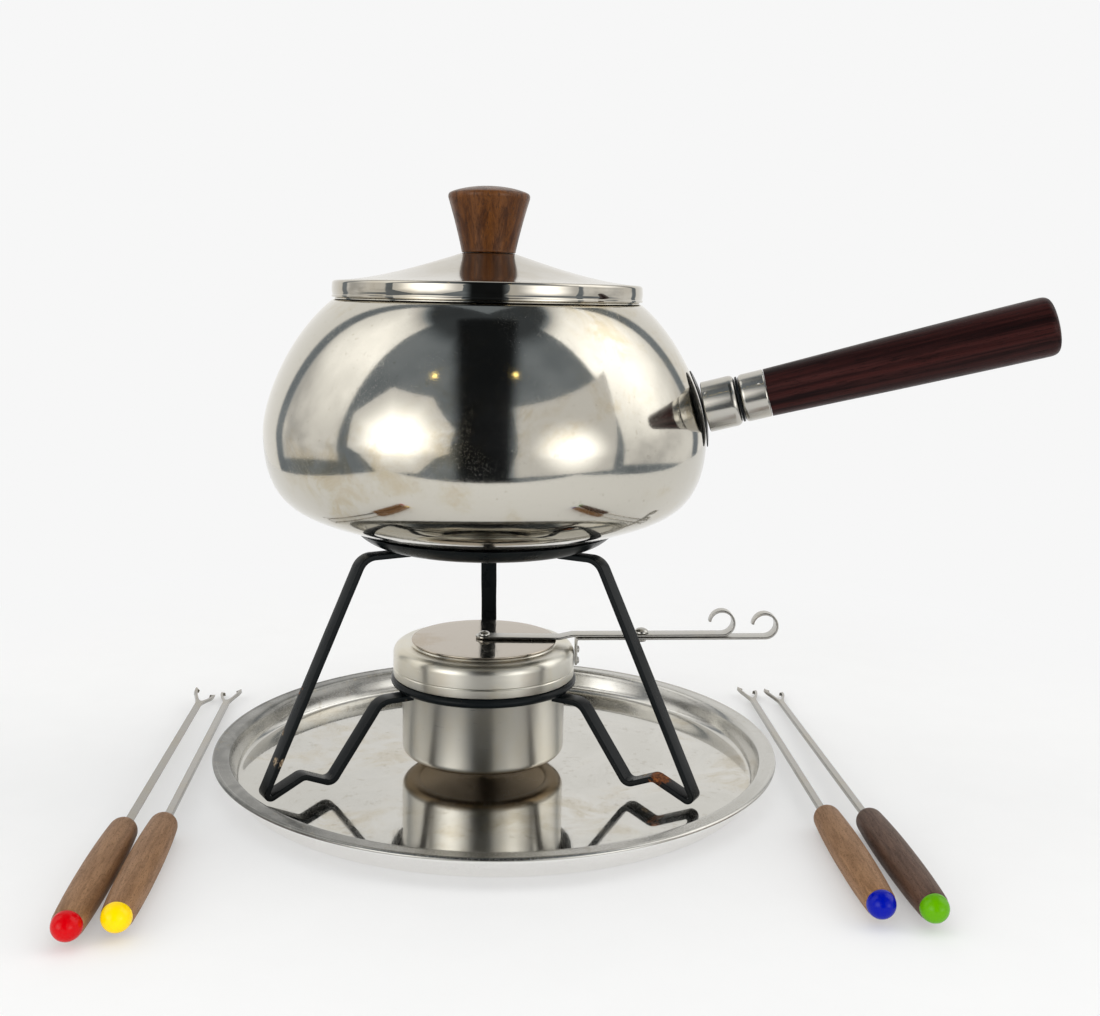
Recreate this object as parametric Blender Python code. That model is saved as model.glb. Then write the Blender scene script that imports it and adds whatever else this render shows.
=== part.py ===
"""Fondue pot set: tray, wire-strip stand, lidded pot, spirit burner with snuffer, and four forks.

Metres, +Z up.  The origin is the centre of the tray's flat underside, which lies on the table.
"""
import math

import bmesh
import bpy
from mathutils import Matrix, Vector

MM = 0.001
GAP = 0.3                     # clearance between neighbouring pieces, mm
STEPS = 40                    # facets round the large turned pieces
TRAY_STEPS = 48
MEDIUM_STEPS = 32             # facets round the burner's cup and disc, the ring and the guard plate
WOOD_STEPS = 24               # facets round the grip, the knob and the wadding
FINE_STEPS = 16               # facets round rivets, screws and other small turned pieces

# ---- tray (mm) ----
TRAY_SHEET = 1.0
TRAY_WELL_R = 120.4           # edge of the flat well
TRAY_CREST_R = 124.8          # inner edge of the flat flange
TRAY_FLANGE_R = 129.3
TRAY_FLANGE_Z = 12.2
TRAY_BEAD_R = 1.2             # rolled edge bead

# ---- stand (mm) ----
STAND_OFFSET_X = -6.5         # the stand rests a little to the left of the tray's centre
DISH_TOP_R = 59.5
DISH_TOP_Z = 114.9
DISH_BOTTOM_R = 46.0
DISH_BOTTOM_Z = 107.9
DISH_HOLE_R = 36.0
DISH_SHEET = 1.3
# side: (azimuth, extra radius of the top bend, extra radius of the inner bends); bent by hand, so uneven
LEGS = {
    "back": (89.3, 0.0, 0.0),
    "left": (210.0, 0.8, 1.3),
    "right": (330.0, -1.6, 0.0),
}
LEG_WIDTH = 8.0
LEG_THICK = 2.5
LEG_TOP_IN_R = 40.0
LEG_TOP_BEND_R = 60.9
LEG_FOOT_R = 110.0
LEG_CREST = (89.5, 11.6)
LEG_DIP = (76.5, 6.0)
LEG_RING_BEND_R = 52.5
LEG_RING_IN_R = 38.5
RING_R = 41.5                 # centreline of the round-bar ring
RING_BAR_R = 2.0
RING_Z = 43.2

# ---- pot (mm) ----
POT_R = 100.0
POT_WIDE_Z = 159.0
POT_SHOULDER = (69.2, 217.8)
POT_NECK_R = 67.7
POT_LIP_Z = 224.6
POT_FOOT = (66.0, 117.6)
POT_BASE_R = 43.0
POT_BASE_Z = 109.6
POT_WALL = 1.2
POT_BASE_THICK = 3.0

# ---- handle (mm, measured out along its own axis from the pot wall) ----
HANDLE_ROOT_AZIMUTH = -14.0   # where the handle meets the pot wall
HANDLE_AZIMUTH = -11.5        # where it points; fixed a little askew
HANDLE_ELEVATION = 15.3
HANDLE_ROOT_R = 97.9
HANDLE_ROOT_Z = 173.8
GUARD_R = 17.2
GUARD_HALF_WIDTH = 7.4        # the plate is a tall oval
GUARD_THICK = 0.5
GUARD_START = 0.6
GUARD_ACROSS_R = 98.0         # the guard plate is dished to follow the pot wall sideways
GUARD_UPRIGHT_R = 62.0        # and from top to bottom
FERRULE_IN_R = 11.2
FERRULE_IN_SPAN = (1.6, 16.2)
SPACER_R = 10.0
FERRULE_OUT_R = 10.5
FERRULE_OUT_SPAN = (17.7, 29.0)
GRIP_SPAN = (29.3, 150.3)
GRIP_START_R = 10.6
GRIP_MID_R = 11.6
GRIP_END_R = 12.5
ROD_R = 2.0
ROD_SPAN = (0.4, 88.0)
ROD_BORE_R = 2.3

# ---- lid (mm) ----
LID_SKIRT_R = 69.5
LID_SKIRT_Z = 218.8
LID_EDGE_Z = 226.3
LID_EDGE_ROUND = 1.8
LID_SHEET = 0.9
LID_TOP_R = 12.4
LID_TOP_Z = 239.2
KNOB_BASE_R = 12.1
KNOB_FLARE_R = 18.2
KNOB_BASE_Z = 239.5
KNOB_FLARE_Z = 264.6
KNOB_DOME_Z = 268.6
SCREW_R = 1.9
SCREW_HEAD_R = 4.2
WASHER_R = 6.5

# ---- burner (mm) ----
CUP_R = 38.1
CUP_BASE_Z = 7.6
CUP_CORNER = 4.0
CUP_FLANGE_R = 41.0
CUP_FLANGE_Z = 45.5
CUP_SHEET = 0.8
CAP_R = 42.4
CAP_SKIRT_Z = 45.5
CAP_TOP_Z = 60.0
CAP_SHOULDER = 4.2
CAP_MOUTH_R = 31.0
CAP_LIP_Z = 60.9
CAP_SEAM_Z = 49.6
CAP_SHEET = 0.8
WADDING_R = 36.8
WADDING_SPAN = (8.8, 38.0)
GAUZE_Z = 42.0
GAUZE_SHEET = 0.7

# ---- snuffer and carrying arms (mm) ----
DISC_R = 34.0
DISC_Z = 61.2
DISC_SHEET = 0.8
ARM_WIDTH = 8.0
ARM_THICK = 1.1
ARM_LOW_Z = 62.3              # underside of the carrying arm beside the cap
ARM_RISE = 1.4                # both arms climb this much from the cap to the finger curls
PIVOT_X = 74.0
CURL_R = 6.2                  # outer radius of the finger curls
CURL_TIP_WIDTH = 3.6
SNUFFER_CURL_X = 118.0        # outermost point of the snuffer arm's curl
CARRY_CURL_X = 138.4          # outermost point of the carrying arm's curl
TAB_DROP = 12.0               # how far the carrying arm's tab runs down the cap

# ---- forks (mm, measured from the centre of the coloured ball along the fork) ----
FORK_BALL_R = 5.4
FORK_BUTT = 0.6
FORK_BUTT_R = 5.7
FORK_BELLY = 44.0
FORK_BELLY_R = 6.7
FORK_NECK = 84.0
FORK_NECK_R = 5.8
FORK_BAR_START = 62.0
FORK_BAR_WIDTH = 3.4
FORK_BAR_THICK = 1.8
FORK_CROTCH = 249.0
FORK_TIP = 268.5
FORK_SPREAD = 5.4
FORK_BORE_R = 2.25
# colour: (ball x, ball y, yaw toward -X, roll of the tines)
FORKS = {
    "red": (-143.9, -174.0, 3.4, 25.0),
    "yellow": (-128.9, -168.3, 3.8, -8.0),
    "blue": (139.6, -157.1, -0.3, 10.0),
    "green": (158.0, -160.0, 0.5, 10.0),
}

BALL_COLOURS = {
    "red": (0.80, 0.0, 0.01),
    "yellow": (1.0, 0.75, 0.0),
    "blue": (0.0, 0.01, 0.55),
    "green": (0.17, 0.50, 0.0),
}


# ---------------------------------------------------------------- materials
def material(name, colour, roughness, metallic):
    mat = bpy.data.materials.get(name)
    if mat is None:
        mat = bpy.data.materials.new(name)
        mat.use_nodes = True
        shader = mat.node_tree.nodes["Principled BSDF"]
        shader.inputs["Base Color"].default_value = (*colour, 1.0)
        shader.inputs["Roughness"].default_value = roughness
        shader.inputs["Metallic"].default_value = metallic
        mat.diffuse_color = (*colour, 1.0)
    return mat


def polished_steel():
    return material("polished_steel", (0.72, 0.70, 0.66), 0.08, 1.0)


def brushed_steel():
    return material("brushed_steel", (0.60, 0.58, 0.54), 0.32, 1.0)


def tray_steel():
    return material("tray_steel", (0.66, 0.65, 0.62), 0.16, 1.0)


def black_paint():
    return material("black_paint", (0.012, 0.013, 0.014), 0.42, 0.0)


def rosewood():
    return material("rosewood", (0.065, 0.017, 0.017), 0.35, 0.0)


def knob_wood():
    return material("knob_wood", (0.16, 0.045, 0.012), 0.38, 0.0)


def teak():
    return material("teak", (0.26, 0.14, 0.075), 0.6, 0.0)


def dark_teak():
    return material("dark_teak", (0.11, 0.055, 0.035), 0.55, 0.0)


def cotton():
    return material("cotton", (0.75, 0.72, 0.66), 0.95, 0.0)


def ball_plastic(colour):
    return material("ball_" + colour, BALL_COLOURS[colour], 0.15, 0.0)


# ---------------------------------------------------------------- building tools
def empty(name, location_mm, rotation=(0.0, 0.0, 0.0), parent=None):
    holder = bpy.data.objects.new(name, None)
    holder.location = [c * MM for c in location_mm]
    holder.rotation_euler = rotation
    holder.parent = parent
    bpy.context.collection.objects.link(holder)
    return holder


def add_object(name, bm, mat, parent, sharp_deg=35.0, origin=(0.0, 0.0, 0.0)):
    """Turn a mesh drawn in millimetres into a named object whose origin is at the given point."""
    shift = Matrix.Translation(-Vector(origin))
    bm.transform(Matrix.Scale(MM, 4) @ shift)
    bmesh.ops.remove_doubles(bm, verts=bm.verts, dist=1e-7)
    bmesh.ops.recalc_face_normals(bm, faces=bm.faces)
    mesh = bpy.data.meshes.new(name)
    bm.to_mesh(mesh)
    bm.free()
    mesh.materials.append(mat)
    obj = bpy.data.objects.new(name, mesh)
    obj.location = [c * MM for c in origin]
    obj.parent = parent
    bpy.context.collection.objects.link(obj)
    mesh.shade_smooth()
    mesh.set_sharp_from_angle(angle=math.radians(sharp_deg))
    return obj


def arc(centre, radius, start_deg, end_deg, count):
    """Points of a circular arc, both ends included."""
    points = []
    for i in range(count + 1):
        a = math.radians(start_deg + (end_deg - start_deg) * i / count)
        points.append((centre[0] + radius * math.cos(a), centre[1] + radius * math.sin(a)))
    return points


def bezier(p0, p1, p2, p3, count):
    """Points of a cubic curve, both ends included."""
    points = []
    for i in range(count + 1):
        t = i / count
        s = 1.0 - t
        weights = (s ** 3, 3 * s * s * t, 3 * s * t * t, t ** 3)
        points.append(tuple(sum(w * p[k] for w, p in zip(weights, (p0, p1, p2, p3))) for k in (0, 1)))
    return points


def offset_inward(points, distance):
    """Shift an open outer profile, running downwards, toward the axis side by the sheet thickness."""
    shifted = []
    last = len(points) - 1
    for i, point in enumerate(points):
        before = points[max(i - 1, 0)]
        after = points[min(i + 1, last)]
        dx = after[0] - before[0]
        dz = after[1] - before[1]
        length = math.hypot(dx, dz)
        shifted.append((point[0] + distance * dz / length, point[1] - distance * dx / length))
    return shifted


def turned(outline, steps):
    """Revolve a closed (radius, height) outline about Z."""
    bm = bmesh.new()
    verts = [bm.verts.new((r, 0.0, z)) for r, z in outline]
    edges = [bm.edges.new((verts[i], verts[(i + 1) % len(verts)])) for i in range(len(verts))]
    bmesh.ops.spin(bm, geom=verts + edges, cent=(0, 0, 0), axis=(0, 0, 1), angle=math.tau,
                   steps=steps, use_merge=True, use_duplicate=False)
    bmesh.ops.remove_doubles(bm, verts=bm.verts, dist=1e-4)
    bmesh.ops.dissolve_degenerate(bm, dist=1e-5, edges=bm.edges)
    lone_edges = [e for e in bm.edges if not e.link_faces]
    bmesh.ops.delete(bm, geom=lone_edges, context="EDGES")
    return bm


def filleted_path(corners, radii, steps_per_bend):
    """Centreline through the corners with each inner corner rounded by its bend radius."""
    path = [Vector(corners[0])]
    for i in range(1, len(corners) - 1):
        here = Vector(corners[i])
        back = (Vector(corners[i - 1]) - here).normalized()
        ahead = (Vector(corners[i + 1]) - here).normalized()
        half = back.angle(ahead) / 2.0
        reach = radii[i - 1] / math.tan(half)
        middle = here + (back + ahead).normalized() * (radii[i - 1] / math.sin(half))
        first = here + back * reach - middle
        last = here + ahead * reach - middle
        turn = first.angle_signed(last)
        for k in range(steps_per_bend + 1):
            angle = -turn * k / steps_per_bend
            c = math.cos(angle)
            s = math.sin(angle)
            path.append(middle + Vector((c * first.x - s * first.y, s * first.x + c * first.y)))
    path.append(Vector(corners[-1]))
    return path


def path_normals(path):
    normals = []
    last = len(path) - 1
    for i in range(len(path)):
        here = path[i]
        before = (here - path[i - 1]).normalized() if i > 0 else None
        after = (path[i + 1] - here).normalized() if i < last else None
        along = (before or Vector((0, 0))) + (after or Vector((0, 0)))
        along.normalize()
        stretch = 1.0
        if before and after:
            stretch = 1.0 / max(along.dot(after), 0.5)
        normals.append(Vector((-along.y, along.x)) * stretch)
    return normals


def bent_strip(path, thickness, widths, edge_round=0.35):
    """Flat strip that follows a path in the XZ plane; its width lies along Y and can change."""
    normals = path_normals(path)
    half = thickness / 2.0
    bm = bmesh.new()
    rings = []
    for point, normal, width in zip(path, normals, widths):
        w = width / 2.0
        n = half - edge_round
        section = ((-w + edge_round, half), (w - edge_round, half), (w, n), (w, -n),
                   (w - edge_round, -half), (-w + edge_round, -half), (-w, -n), (-w, n))
        ring = []
        for y, across in section:
            p = point + normal * across
            ring.append(bm.verts.new((p.x, y, p.y)))
        rings.append(ring)
    for near, far in zip(rings, rings[1:]):
        for k in range(8):
            bm.faces.new((near[k], near[(k + 1) % 8], far[(k + 1) % 8], far[k]))
    bm.faces.new(rings[0])
    bm.faces.new(rings[-1])
    return bm


def slab(outline, z_low, z_high):
    """Straight-sided plate from a closed (x, y) outline."""
    bm = bmesh.new()
    face = bm.faces.new([bm.verts.new((x, y, z_low)) for x, y in outline])
    out = bmesh.ops.extrude_face_region(bm, geom=[face])
    risen = [v for v in out["geom"] if isinstance(v, bmesh.types.BMVert)]
    bmesh.ops.translate(bm, verts=risen, vec=(0, 0, z_high - z_low))
    return bm


def cut(obj, cutter):
    """Subtract a guide body that is never rendered."""
    cutter.hide_render = True
    cutter.display_type = "WIRE"
    boolean = obj.modifiers.new("cut", "BOOLEAN")
    boolean.operation = "DIFFERENCE"
    boolean.solver = "EXACT"
    boolean.object = cutter
    apply_modifiers(obj)
    bpy.data.objects.remove(cutter)


def apply_modifiers(obj):
    bpy.context.view_layer.update()
    graph = bpy.context.evaluated_depsgraph_get()
    mesh = bpy.data.meshes.new_from_object(obj.evaluated_get(graph), depsgraph=graph)
    obj.modifiers.clear()
    obj.data = mesh


def drill(obj, x, y, radius, z_low, z_high):
    """Round hole along the object's parent Z axis."""
    bm = turned([(0, z_low), (radius, z_low), (radius, z_high), (0, z_high)], FINE_STEPS)
    bm.transform(Matrix.Translation((x, y, 0)))
    cutter = add_object("hole", bm, obj.data.materials[0], obj.parent)
    cut(obj, cutter)


def rivet(name, parent, mat, x, z_parts, shank_r, head_r, closing_r):
    """Rivet with a domed top head and a shank; its closing head is flush when no wider than the shank."""
    foot_low, foot_high, head_low, head_top = z_parts
    dome = []
    for i in range(4):
        a = math.radians(90.0 * i / 3)
        dome.append((head_r * math.cos(a), head_low + (head_top - head_low) * math.sin(a)))
    outline = [(0, foot_low), (closing_r - 0.4, foot_low), (closing_r, foot_low + 0.3)]
    if closing_r > shank_r:
        outline += [(closing_r, foot_high), (shank_r, foot_high)]
    outline += [(shank_r, head_low)] + dome
    bm = turned(outline, FINE_STEPS)
    bm.transform(Matrix.Translation((x, 0, 0)))
    return add_object(name, bm, mat, parent, origin=(x, 0.0, head_low))


# ---------------------------------------------------------------- tray
def build_tray():
    """Pressed tray: flat well, steep curved wall, flat flange and a rolled edge."""
    sheet = TRAY_SHEET
    bead_centre = (TRAY_FLANGE_R + 0.7, TRAY_FLANGE_Z - 1.0)
    top = [(0, sheet), (TRAY_WELL_R - 1.2, sheet)]
    top += bezier((TRAY_WELL_R, sheet + 0.2), (TRAY_WELL_R + 2.2, sheet + 1.2),
                  (TRAY_CREST_R - 2.8, TRAY_FLANGE_Z), (TRAY_CREST_R, TRAY_FLANGE_Z), 6)
    bead = arc(bead_centre, TRAY_BEAD_R, 110, -150, 6)
    under_z = TRAY_FLANGE_Z - sheet
    under = [(TRAY_FLANGE_R - 0.6, under_z)]
    under += bezier((TRAY_CREST_R + 0.4, under_z), (TRAY_CREST_R - 1.4, under_z),
                    (TRAY_WELL_R + 3.4, 1.0), (TRAY_WELL_R + 0.6, 0.15), 5)
    under += [(TRAY_WELL_R - 1.0, 0), (0, 0)]
    return add_object("tray", turned(top + bead + under, TRAY_STEPS), tray_steel(), None)


# ---------------------------------------------------------------- stand
def build_stand_dish(frame):
    """Shallow ring with a flat inner flange and a flared wall; the pot's base sits inside it."""
    wall = bezier((DISH_TOP_R, DISH_TOP_Z), (DISH_TOP_R - 3.0, DISH_TOP_Z - 4.4),
                  (DISH_BOTTOM_R + 4.0, DISH_BOTTOM_Z), (DISH_BOTTOM_R, DISH_BOTTOM_Z), 4)
    inner_wall = offset_inward(wall, DISH_SHEET)
    inner_wall[0] = (DISH_TOP_R - 1.4, DISH_TOP_Z)
    outline = wall + [(DISH_HOLE_R, DISH_BOTTOM_Z), (DISH_HOLE_R, DISH_BOTTOM_Z + DISH_SHEET)]
    outline += list(reversed(inner_wall))
    return add_object("stand_dish", turned(outline, STEPS), black_paint(), frame)


def build_leg(frame, side, azimuth, top_extra, inner_extra):
    """One strip: tab under the dish, straight slope, folded foot, wavy return, tab under the ring."""
    half = LEG_THICK / 2.0
    top_z = DISH_BOTTOM_Z - GAP - half
    foot_z = TRAY_SHEET + GAP + half
    ring_z = RING_Z - RING_BAR_R - GAP - half
    corners = [(LEG_TOP_IN_R, top_z), (LEG_TOP_BEND_R + top_extra, top_z), (LEG_FOOT_R, foot_z),
               (LEG_CREST[0] + inner_extra, LEG_CREST[1]), (LEG_DIP[0] + inner_extra, LEG_DIP[1]),
               (LEG_RING_BEND_R + inner_extra, ring_z), (LEG_RING_IN_R, ring_z)]
    path = filleted_path(corners, (8.0, 1.9, 4.0, 4.0, 8.0), 4)
    bm = bent_strip(path, LEG_THICK, [LEG_WIDTH] * len(path))
    leg = add_object("stand_leg_" + side, bm, black_paint(), frame, sharp_deg=40.0)
    leg.rotation_euler = (0.0, 0.0, math.radians(azimuth))
    return leg


def build_burner_ring(frame):
    return add_object("burner_ring", turned(arc((RING_R, RING_Z), RING_BAR_R, 0, 315, 7), MEDIUM_STEPS),
                      black_paint(), frame)


# ---------------------------------------------------------------- pot
def pot_outer_profile():
    """Outer wall from the neck down to the flat base."""
    neck = [(POT_NECK_R, POT_LIP_Z - 0.5), (POT_NECK_R, POT_SHOULDER[1] + 0.4)]
    upper = bezier(POT_SHOULDER, (88.0, 202.7), (POT_R, 174.0), (POT_R, POT_WIDE_Z), 9)
    lower = bezier((POT_R, POT_WIDE_Z), (POT_R, 125.5), (82.0, 123.6), POT_FOOT, 9)
    foot = bezier(POT_FOOT, (61.5, 116.2), (52.0, POT_BASE_Z + 4.4), (POT_BASE_R, POT_BASE_Z), 4)
    return neck + upper + lower[1:] + foot[1:]


def build_pot_body(frame):
    outer = pot_outer_profile()
    floor_z = POT_BASE_Z + POT_BASE_THICK
    inner = [p for p in offset_inward(outer, POT_WALL) if p[1] > floor_z + 2.0]
    inner = inner[:2] + inner[2::2]
    lip = [(POT_NECK_R - POT_WALL, POT_LIP_Z - 0.4), (POT_NECK_R - POT_WALL / 2, POT_LIP_Z)]
    outline = lip + outer + [(0, POT_BASE_Z), (0, floor_z), (POT_BASE_R, floor_z)]
    outline += list(reversed(inner[1:]))
    return add_object("pot_body", turned(outline, STEPS), polished_steel(), frame)


def handle_frame(frame):
    """Empty at the pot wall whose +X runs out along the handle."""
    bearing = math.radians(HANDLE_ROOT_AZIMUTH)
    root = (HANDLE_ROOT_R * math.cos(bearing), HANDLE_ROOT_R * math.sin(bearing), HANDLE_ROOT_Z)
    turn = (0.0, -math.radians(HANDLE_ELEVATION), math.radians(HANDLE_AZIMUTH))
    return empty("handle_axis", root, turn, frame)


def along_x(bm):
    """Lay a turned piece down so that its height runs along +X."""
    bm.transform(Matrix.Rotation(math.radians(90), 4, "Y"))
    return bm


def sleeve(name, frame, mat, outer_r, span, round_near, round_far, bore_r=ROD_BORE_R):
    start, end = span
    outline = [(bore_r, start)]
    if round_near > 0:
        outline += arc((outer_r - round_near, start + round_near), round_near, -90, 0, 3)
    else:
        outline += [(outer_r, start)]
    if round_far > 0:
        outline += arc((outer_r - round_far, end - round_far), round_far, 0, 90, 3)
    else:
        outline += [(outer_r, end)]
    outline += [(bore_r, end)]
    return add_object(name, along_x(turned(outline, FINE_STEPS)), mat, frame)


def build_guard_plate(frame):
    """Thin, tall oval black plate, dished so that it follows the pot wall."""
    rows = (ROD_BORE_R, 0.35 * GUARD_R, 0.6 * GUARD_R, 0.82 * GUARD_R, GUARD_R)
    near = [(r, GUARD_START) for r in rows]
    far = [(r, GUARD_START + GUARD_THICK) for r in reversed(rows)]
    bm = along_x(turned(near + far, MEDIUM_STEPS))
    for vert in bm.verts:
        reach = math.hypot(vert.co.y, vert.co.z)
        toward_rim = (reach - ROD_BORE_R) / (GUARD_R - ROD_BORE_R)
        vert.co.y *= (ROD_BORE_R + toward_rim * (GUARD_HALF_WIDTH - ROD_BORE_R)) / reach
        vert.co.x -= vert.co.y ** 2 / (2.0 * GUARD_ACROSS_R) + vert.co.z ** 2 / (2.0 * GUARD_UPRIGHT_R)
    return add_object("handle_guard_plate", bm, black_paint(), frame)


def build_grip(frame):
    start, end = GRIP_SPAN
    middle = start + 0.45 * (end - start)
    side = bezier((GRIP_START_R, start), (GRIP_START_R + 0.3, start + 25.0),
                  (GRIP_MID_R - 0.2, middle - 12.0), (GRIP_MID_R, middle), 3)
    side += bezier((GRIP_MID_R, middle), (GRIP_MID_R + 0.3, middle + 18.0),
                   (GRIP_END_R - 0.2, end - 30.0), (GRIP_END_R, end - 4.5), 3)[1:]
    end_round = bezier((GRIP_END_R, end - 4.5), (GRIP_END_R, end - 1.2), (GRIP_END_R - 1.6, end - 0.3),
                       (GRIP_END_R - 4.2, end), 3)[1:]
    bore_end = ROD_SPAN[1] + 2.0
    outline = [(ROD_BORE_R, start)] + side + end_round
    outline += [(0, end + 0.4), (0, bore_end), (ROD_BORE_R, bore_end)]
    return add_object("handle_grip", along_x(turned(outline, WOOD_STEPS)), rosewood(), frame)


def build_handle(frame):
    axis = handle_frame(frame)
    build_guard_plate(axis)
    sleeve("handle_ferrule_inner", axis, brushed_steel(), FERRULE_IN_R, FERRULE_IN_SPAN, 0.6, 2.6)
    spacer_span = (FERRULE_IN_SPAN[1] + GAP, FERRULE_OUT_SPAN[0] - GAP)
    sleeve("handle_spacer", axis, black_paint(), SPACER_R, spacer_span, 0.2, 0.2)
    sleeve("handle_ferrule_outer", axis, brushed_steel(), FERRULE_OUT_R, FERRULE_OUT_SPAN, 1.8, 0.0)
    build_grip(axis)
    rod = [(0, ROD_SPAN[0]), (ROD_R, ROD_SPAN[0]), (ROD_R, ROD_SPAN[1]), (0, ROD_SPAN[1])]
    add_object("handle_rod", along_x(turned(rod, FINE_STEPS)), brushed_steel(), axis)


# ---------------------------------------------------------------- lid
def build_lid_shell(frame):
    edge_in = LID_SKIRT_R - LID_EDGE_ROUND
    skirt = [(LID_SKIRT_R - 0.1, LID_SKIRT_Z), (LID_SKIRT_R, LID_SKIRT_Z + 0.3)]
    edge = arc((edge_in, LID_EDGE_Z - LID_EDGE_ROUND), LID_EDGE_ROUND, 0, 90, 3)
    cone = bezier((66.0, 226.5), (50.0, 227.2), (30.0, 233.4), (LID_TOP_R, LID_TOP_Z), 6)
    outer = skirt + edge + cone
    inner_skirt = LID_SKIRT_R - LID_SHEET
    inner_cone = [(r, z - LID_SHEET) for r, z in cone[::-2]]
    inner = [(SCREW_R + 0.4, LID_TOP_Z - LID_SHEET)] + inner_cone
    inner += arc((edge_in - 0.4, LID_EDGE_Z - LID_EDGE_ROUND - 0.2), LID_EDGE_ROUND - 0.5, 90, 0, 2)
    inner += [(inner_skirt, LID_EDGE_Z - 3.0), (inner_skirt, LID_SKIRT_Z)]
    outline = outer + [(SCREW_R + 0.4, LID_TOP_Z)] + inner
    return add_object("lid_shell", turned(outline, STEPS), polished_steel(), frame)


def build_knob(frame):
    """Flared wooden knob with a shallow domed top and a blind bore for the screw."""
    side = [(KNOB_BASE_R - 0.5, KNOB_BASE_Z), (KNOB_BASE_R, KNOB_BASE_Z + 0.5),
            ((KNOB_BASE_R + KNOB_FLARE_R) / 2 - 0.1, (KNOB_BASE_Z + KNOB_FLARE_Z) / 2),
            (KNOB_FLARE_R - 0.1, KNOB_FLARE_Z - 1.0)]
    top = bezier((KNOB_FLARE_R, KNOB_FLARE_Z), (KNOB_FLARE_R - 0.4, KNOB_FLARE_Z + 1.2),
                 (9.0, KNOB_DOME_Z), (0, KNOB_DOME_Z), 5)
    bore_r = SCREW_R + GAP
    bore_z = KNOB_BASE_Z + 15.0
    outline = [(bore_r, KNOB_BASE_Z)] + side + top + [(0, bore_z), (bore_r, bore_z)]
    return add_object("lid_knob", turned(outline, WOOD_STEPS), knob_wood(), frame)


def build_knob_fixing(frame):
    under = LID_TOP_Z - LID_SHEET - GAP
    washer_low = under - 0.8
    washer = [(SCREW_R + GAP, washer_low), (WASHER_R, washer_low), (WASHER_R, under),
              (SCREW_R + GAP, under)]
    add_object("knob_washer", turned(washer, FINE_STEPS), brushed_steel(), frame)
    head_top = washer_low - GAP
    head = arc((0, head_top - 0.3), SCREW_HEAD_R, -90, 0, 4)
    head = [(r, head_top - 0.3 + (z - head_top + 0.3) * 0.45) for r, z in head]
    screw = head + [(SCREW_HEAD_R, head_top), (SCREW_R, head_top), (SCREW_R, KNOB_BASE_Z + 14.0),
                    (0, KNOB_BASE_Z + 14.6)]
    return add_object("knob_screw", turned(screw, FINE_STEPS), brushed_steel(), frame)


# ---------------------------------------------------------------- burner
def build_burner_cup(frame):
    t = CUP_SHEET
    corner = arc((CUP_R - CUP_CORNER, CUP_BASE_Z + CUP_CORNER), CUP_CORNER, -90, 0, 3)
    inside_corner = arc((CUP_R - CUP_CORNER, CUP_BASE_Z + CUP_CORNER), CUP_CORNER - t, 0, -90, 2)
    outline = [(0, CUP_BASE_Z + 0.8), (CUP_R - 8.0, CUP_BASE_Z + 0.8), (CUP_R - 7.2, CUP_BASE_Z)]
    outline += corner
    outline += [(CUP_R, CUP_FLANGE_Z), (CUP_FLANGE_R, CUP_FLANGE_Z), (CUP_FLANGE_R, CUP_FLANGE_Z + t),
                (CUP_R - t, CUP_FLANGE_Z + t)]
    outline += inside_corner
    outline += [(CUP_R - 7.0, CUP_BASE_Z + t), (CUP_R - 7.8, CUP_BASE_Z + t + 0.8),
                (0, CUP_BASE_Z + t + 0.8)]
    return add_object("burner_cup", turned(outline, MEDIUM_STEPS), brushed_steel(), frame)


def build_wadding(frame):
    low, high = WADDING_SPAN
    low += 1.0
    outline = [(0, low), (WADDING_R - 5.0, low), (WADDING_R - 1.5, low + 2.5), (WADDING_R, low + 6.0),
               (WADDING_R, high - 3.0), (WADDING_R - 2.0, high - 0.6), (0, high)]
    return add_object("fuel_wadding", turned(outline, WOOD_STEPS), cotton(), frame)


def build_gauze(frame):
    low = GAUZE_Z
    high = GAUZE_Z + GAUZE_SHEET
    outline = [(0, low), (WADDING_R, low), (WADDING_R, high), (0, high)]
    return add_object("burner_gauze", turned(outline, MEDIUM_STEPS), brushed_steel(), frame)


def build_burner_cap(frame):
    t = CAP_SHEET
    shoulder_c = (CAP_R - CAP_SHOULDER, CAP_TOP_Z - CAP_SHOULDER)
    outer = [(CAP_R, CAP_SKIRT_Z), (CAP_R, CAP_SEAM_Z - 0.4), (CAP_R - 0.3, CAP_SEAM_Z),
             (CAP_R, CAP_SEAM_Z + 0.4)]
    outer += arc(shoulder_c, CAP_SHOULDER, 0, 90, 4)
    lip_out = CAP_MOUTH_R + 2.2
    outer += [(lip_out + 0.6, CAP_TOP_Z), (lip_out, CAP_LIP_Z), (CAP_MOUTH_R, CAP_LIP_Z)]
    inner = [(CAP_MOUTH_R, CAP_TOP_Z - t), (lip_out + 0.6, CAP_TOP_Z - t)]
    inner += arc(shoulder_c, CAP_SHOULDER - t, 90, 0, 2)
    inner += [(CAP_R - t, CAP_SKIRT_Z)]
    return add_object("burner_cap", turned(outer + inner, STEPS), brushed_steel(), frame)


def arm_height(x):
    """Extra height of the gently climbing arms at a distance from the burner's axis."""
    return ARM_RISE * (x - CAP_R) / (CARRY_CURL_X - CAP_R)


def curl(x_out, z_under, count=10):
    """Centreline of a finger curl: three quarters of a circle rising from the arm's end."""
    r = CURL_R - ARM_THICK / 2.0
    centre = (x_out - CURL_R, z_under + CURL_R)
    return [Vector(p) for p in arc(centre, r, -90, 176, count)]


def curl_widths(straight_count, total):
    """Full width along the arm, easing down to the narrow tip of the curl."""
    widths = [ARM_WIDTH] * straight_count
    curl_count = total - straight_count
    for i in range(curl_count):
        t = (i + 1) / curl_count
        widths.append(ARM_WIDTH + (CURL_TIP_WIDTH - ARM_WIDTH) * t ** 1.6)
    return widths


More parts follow.
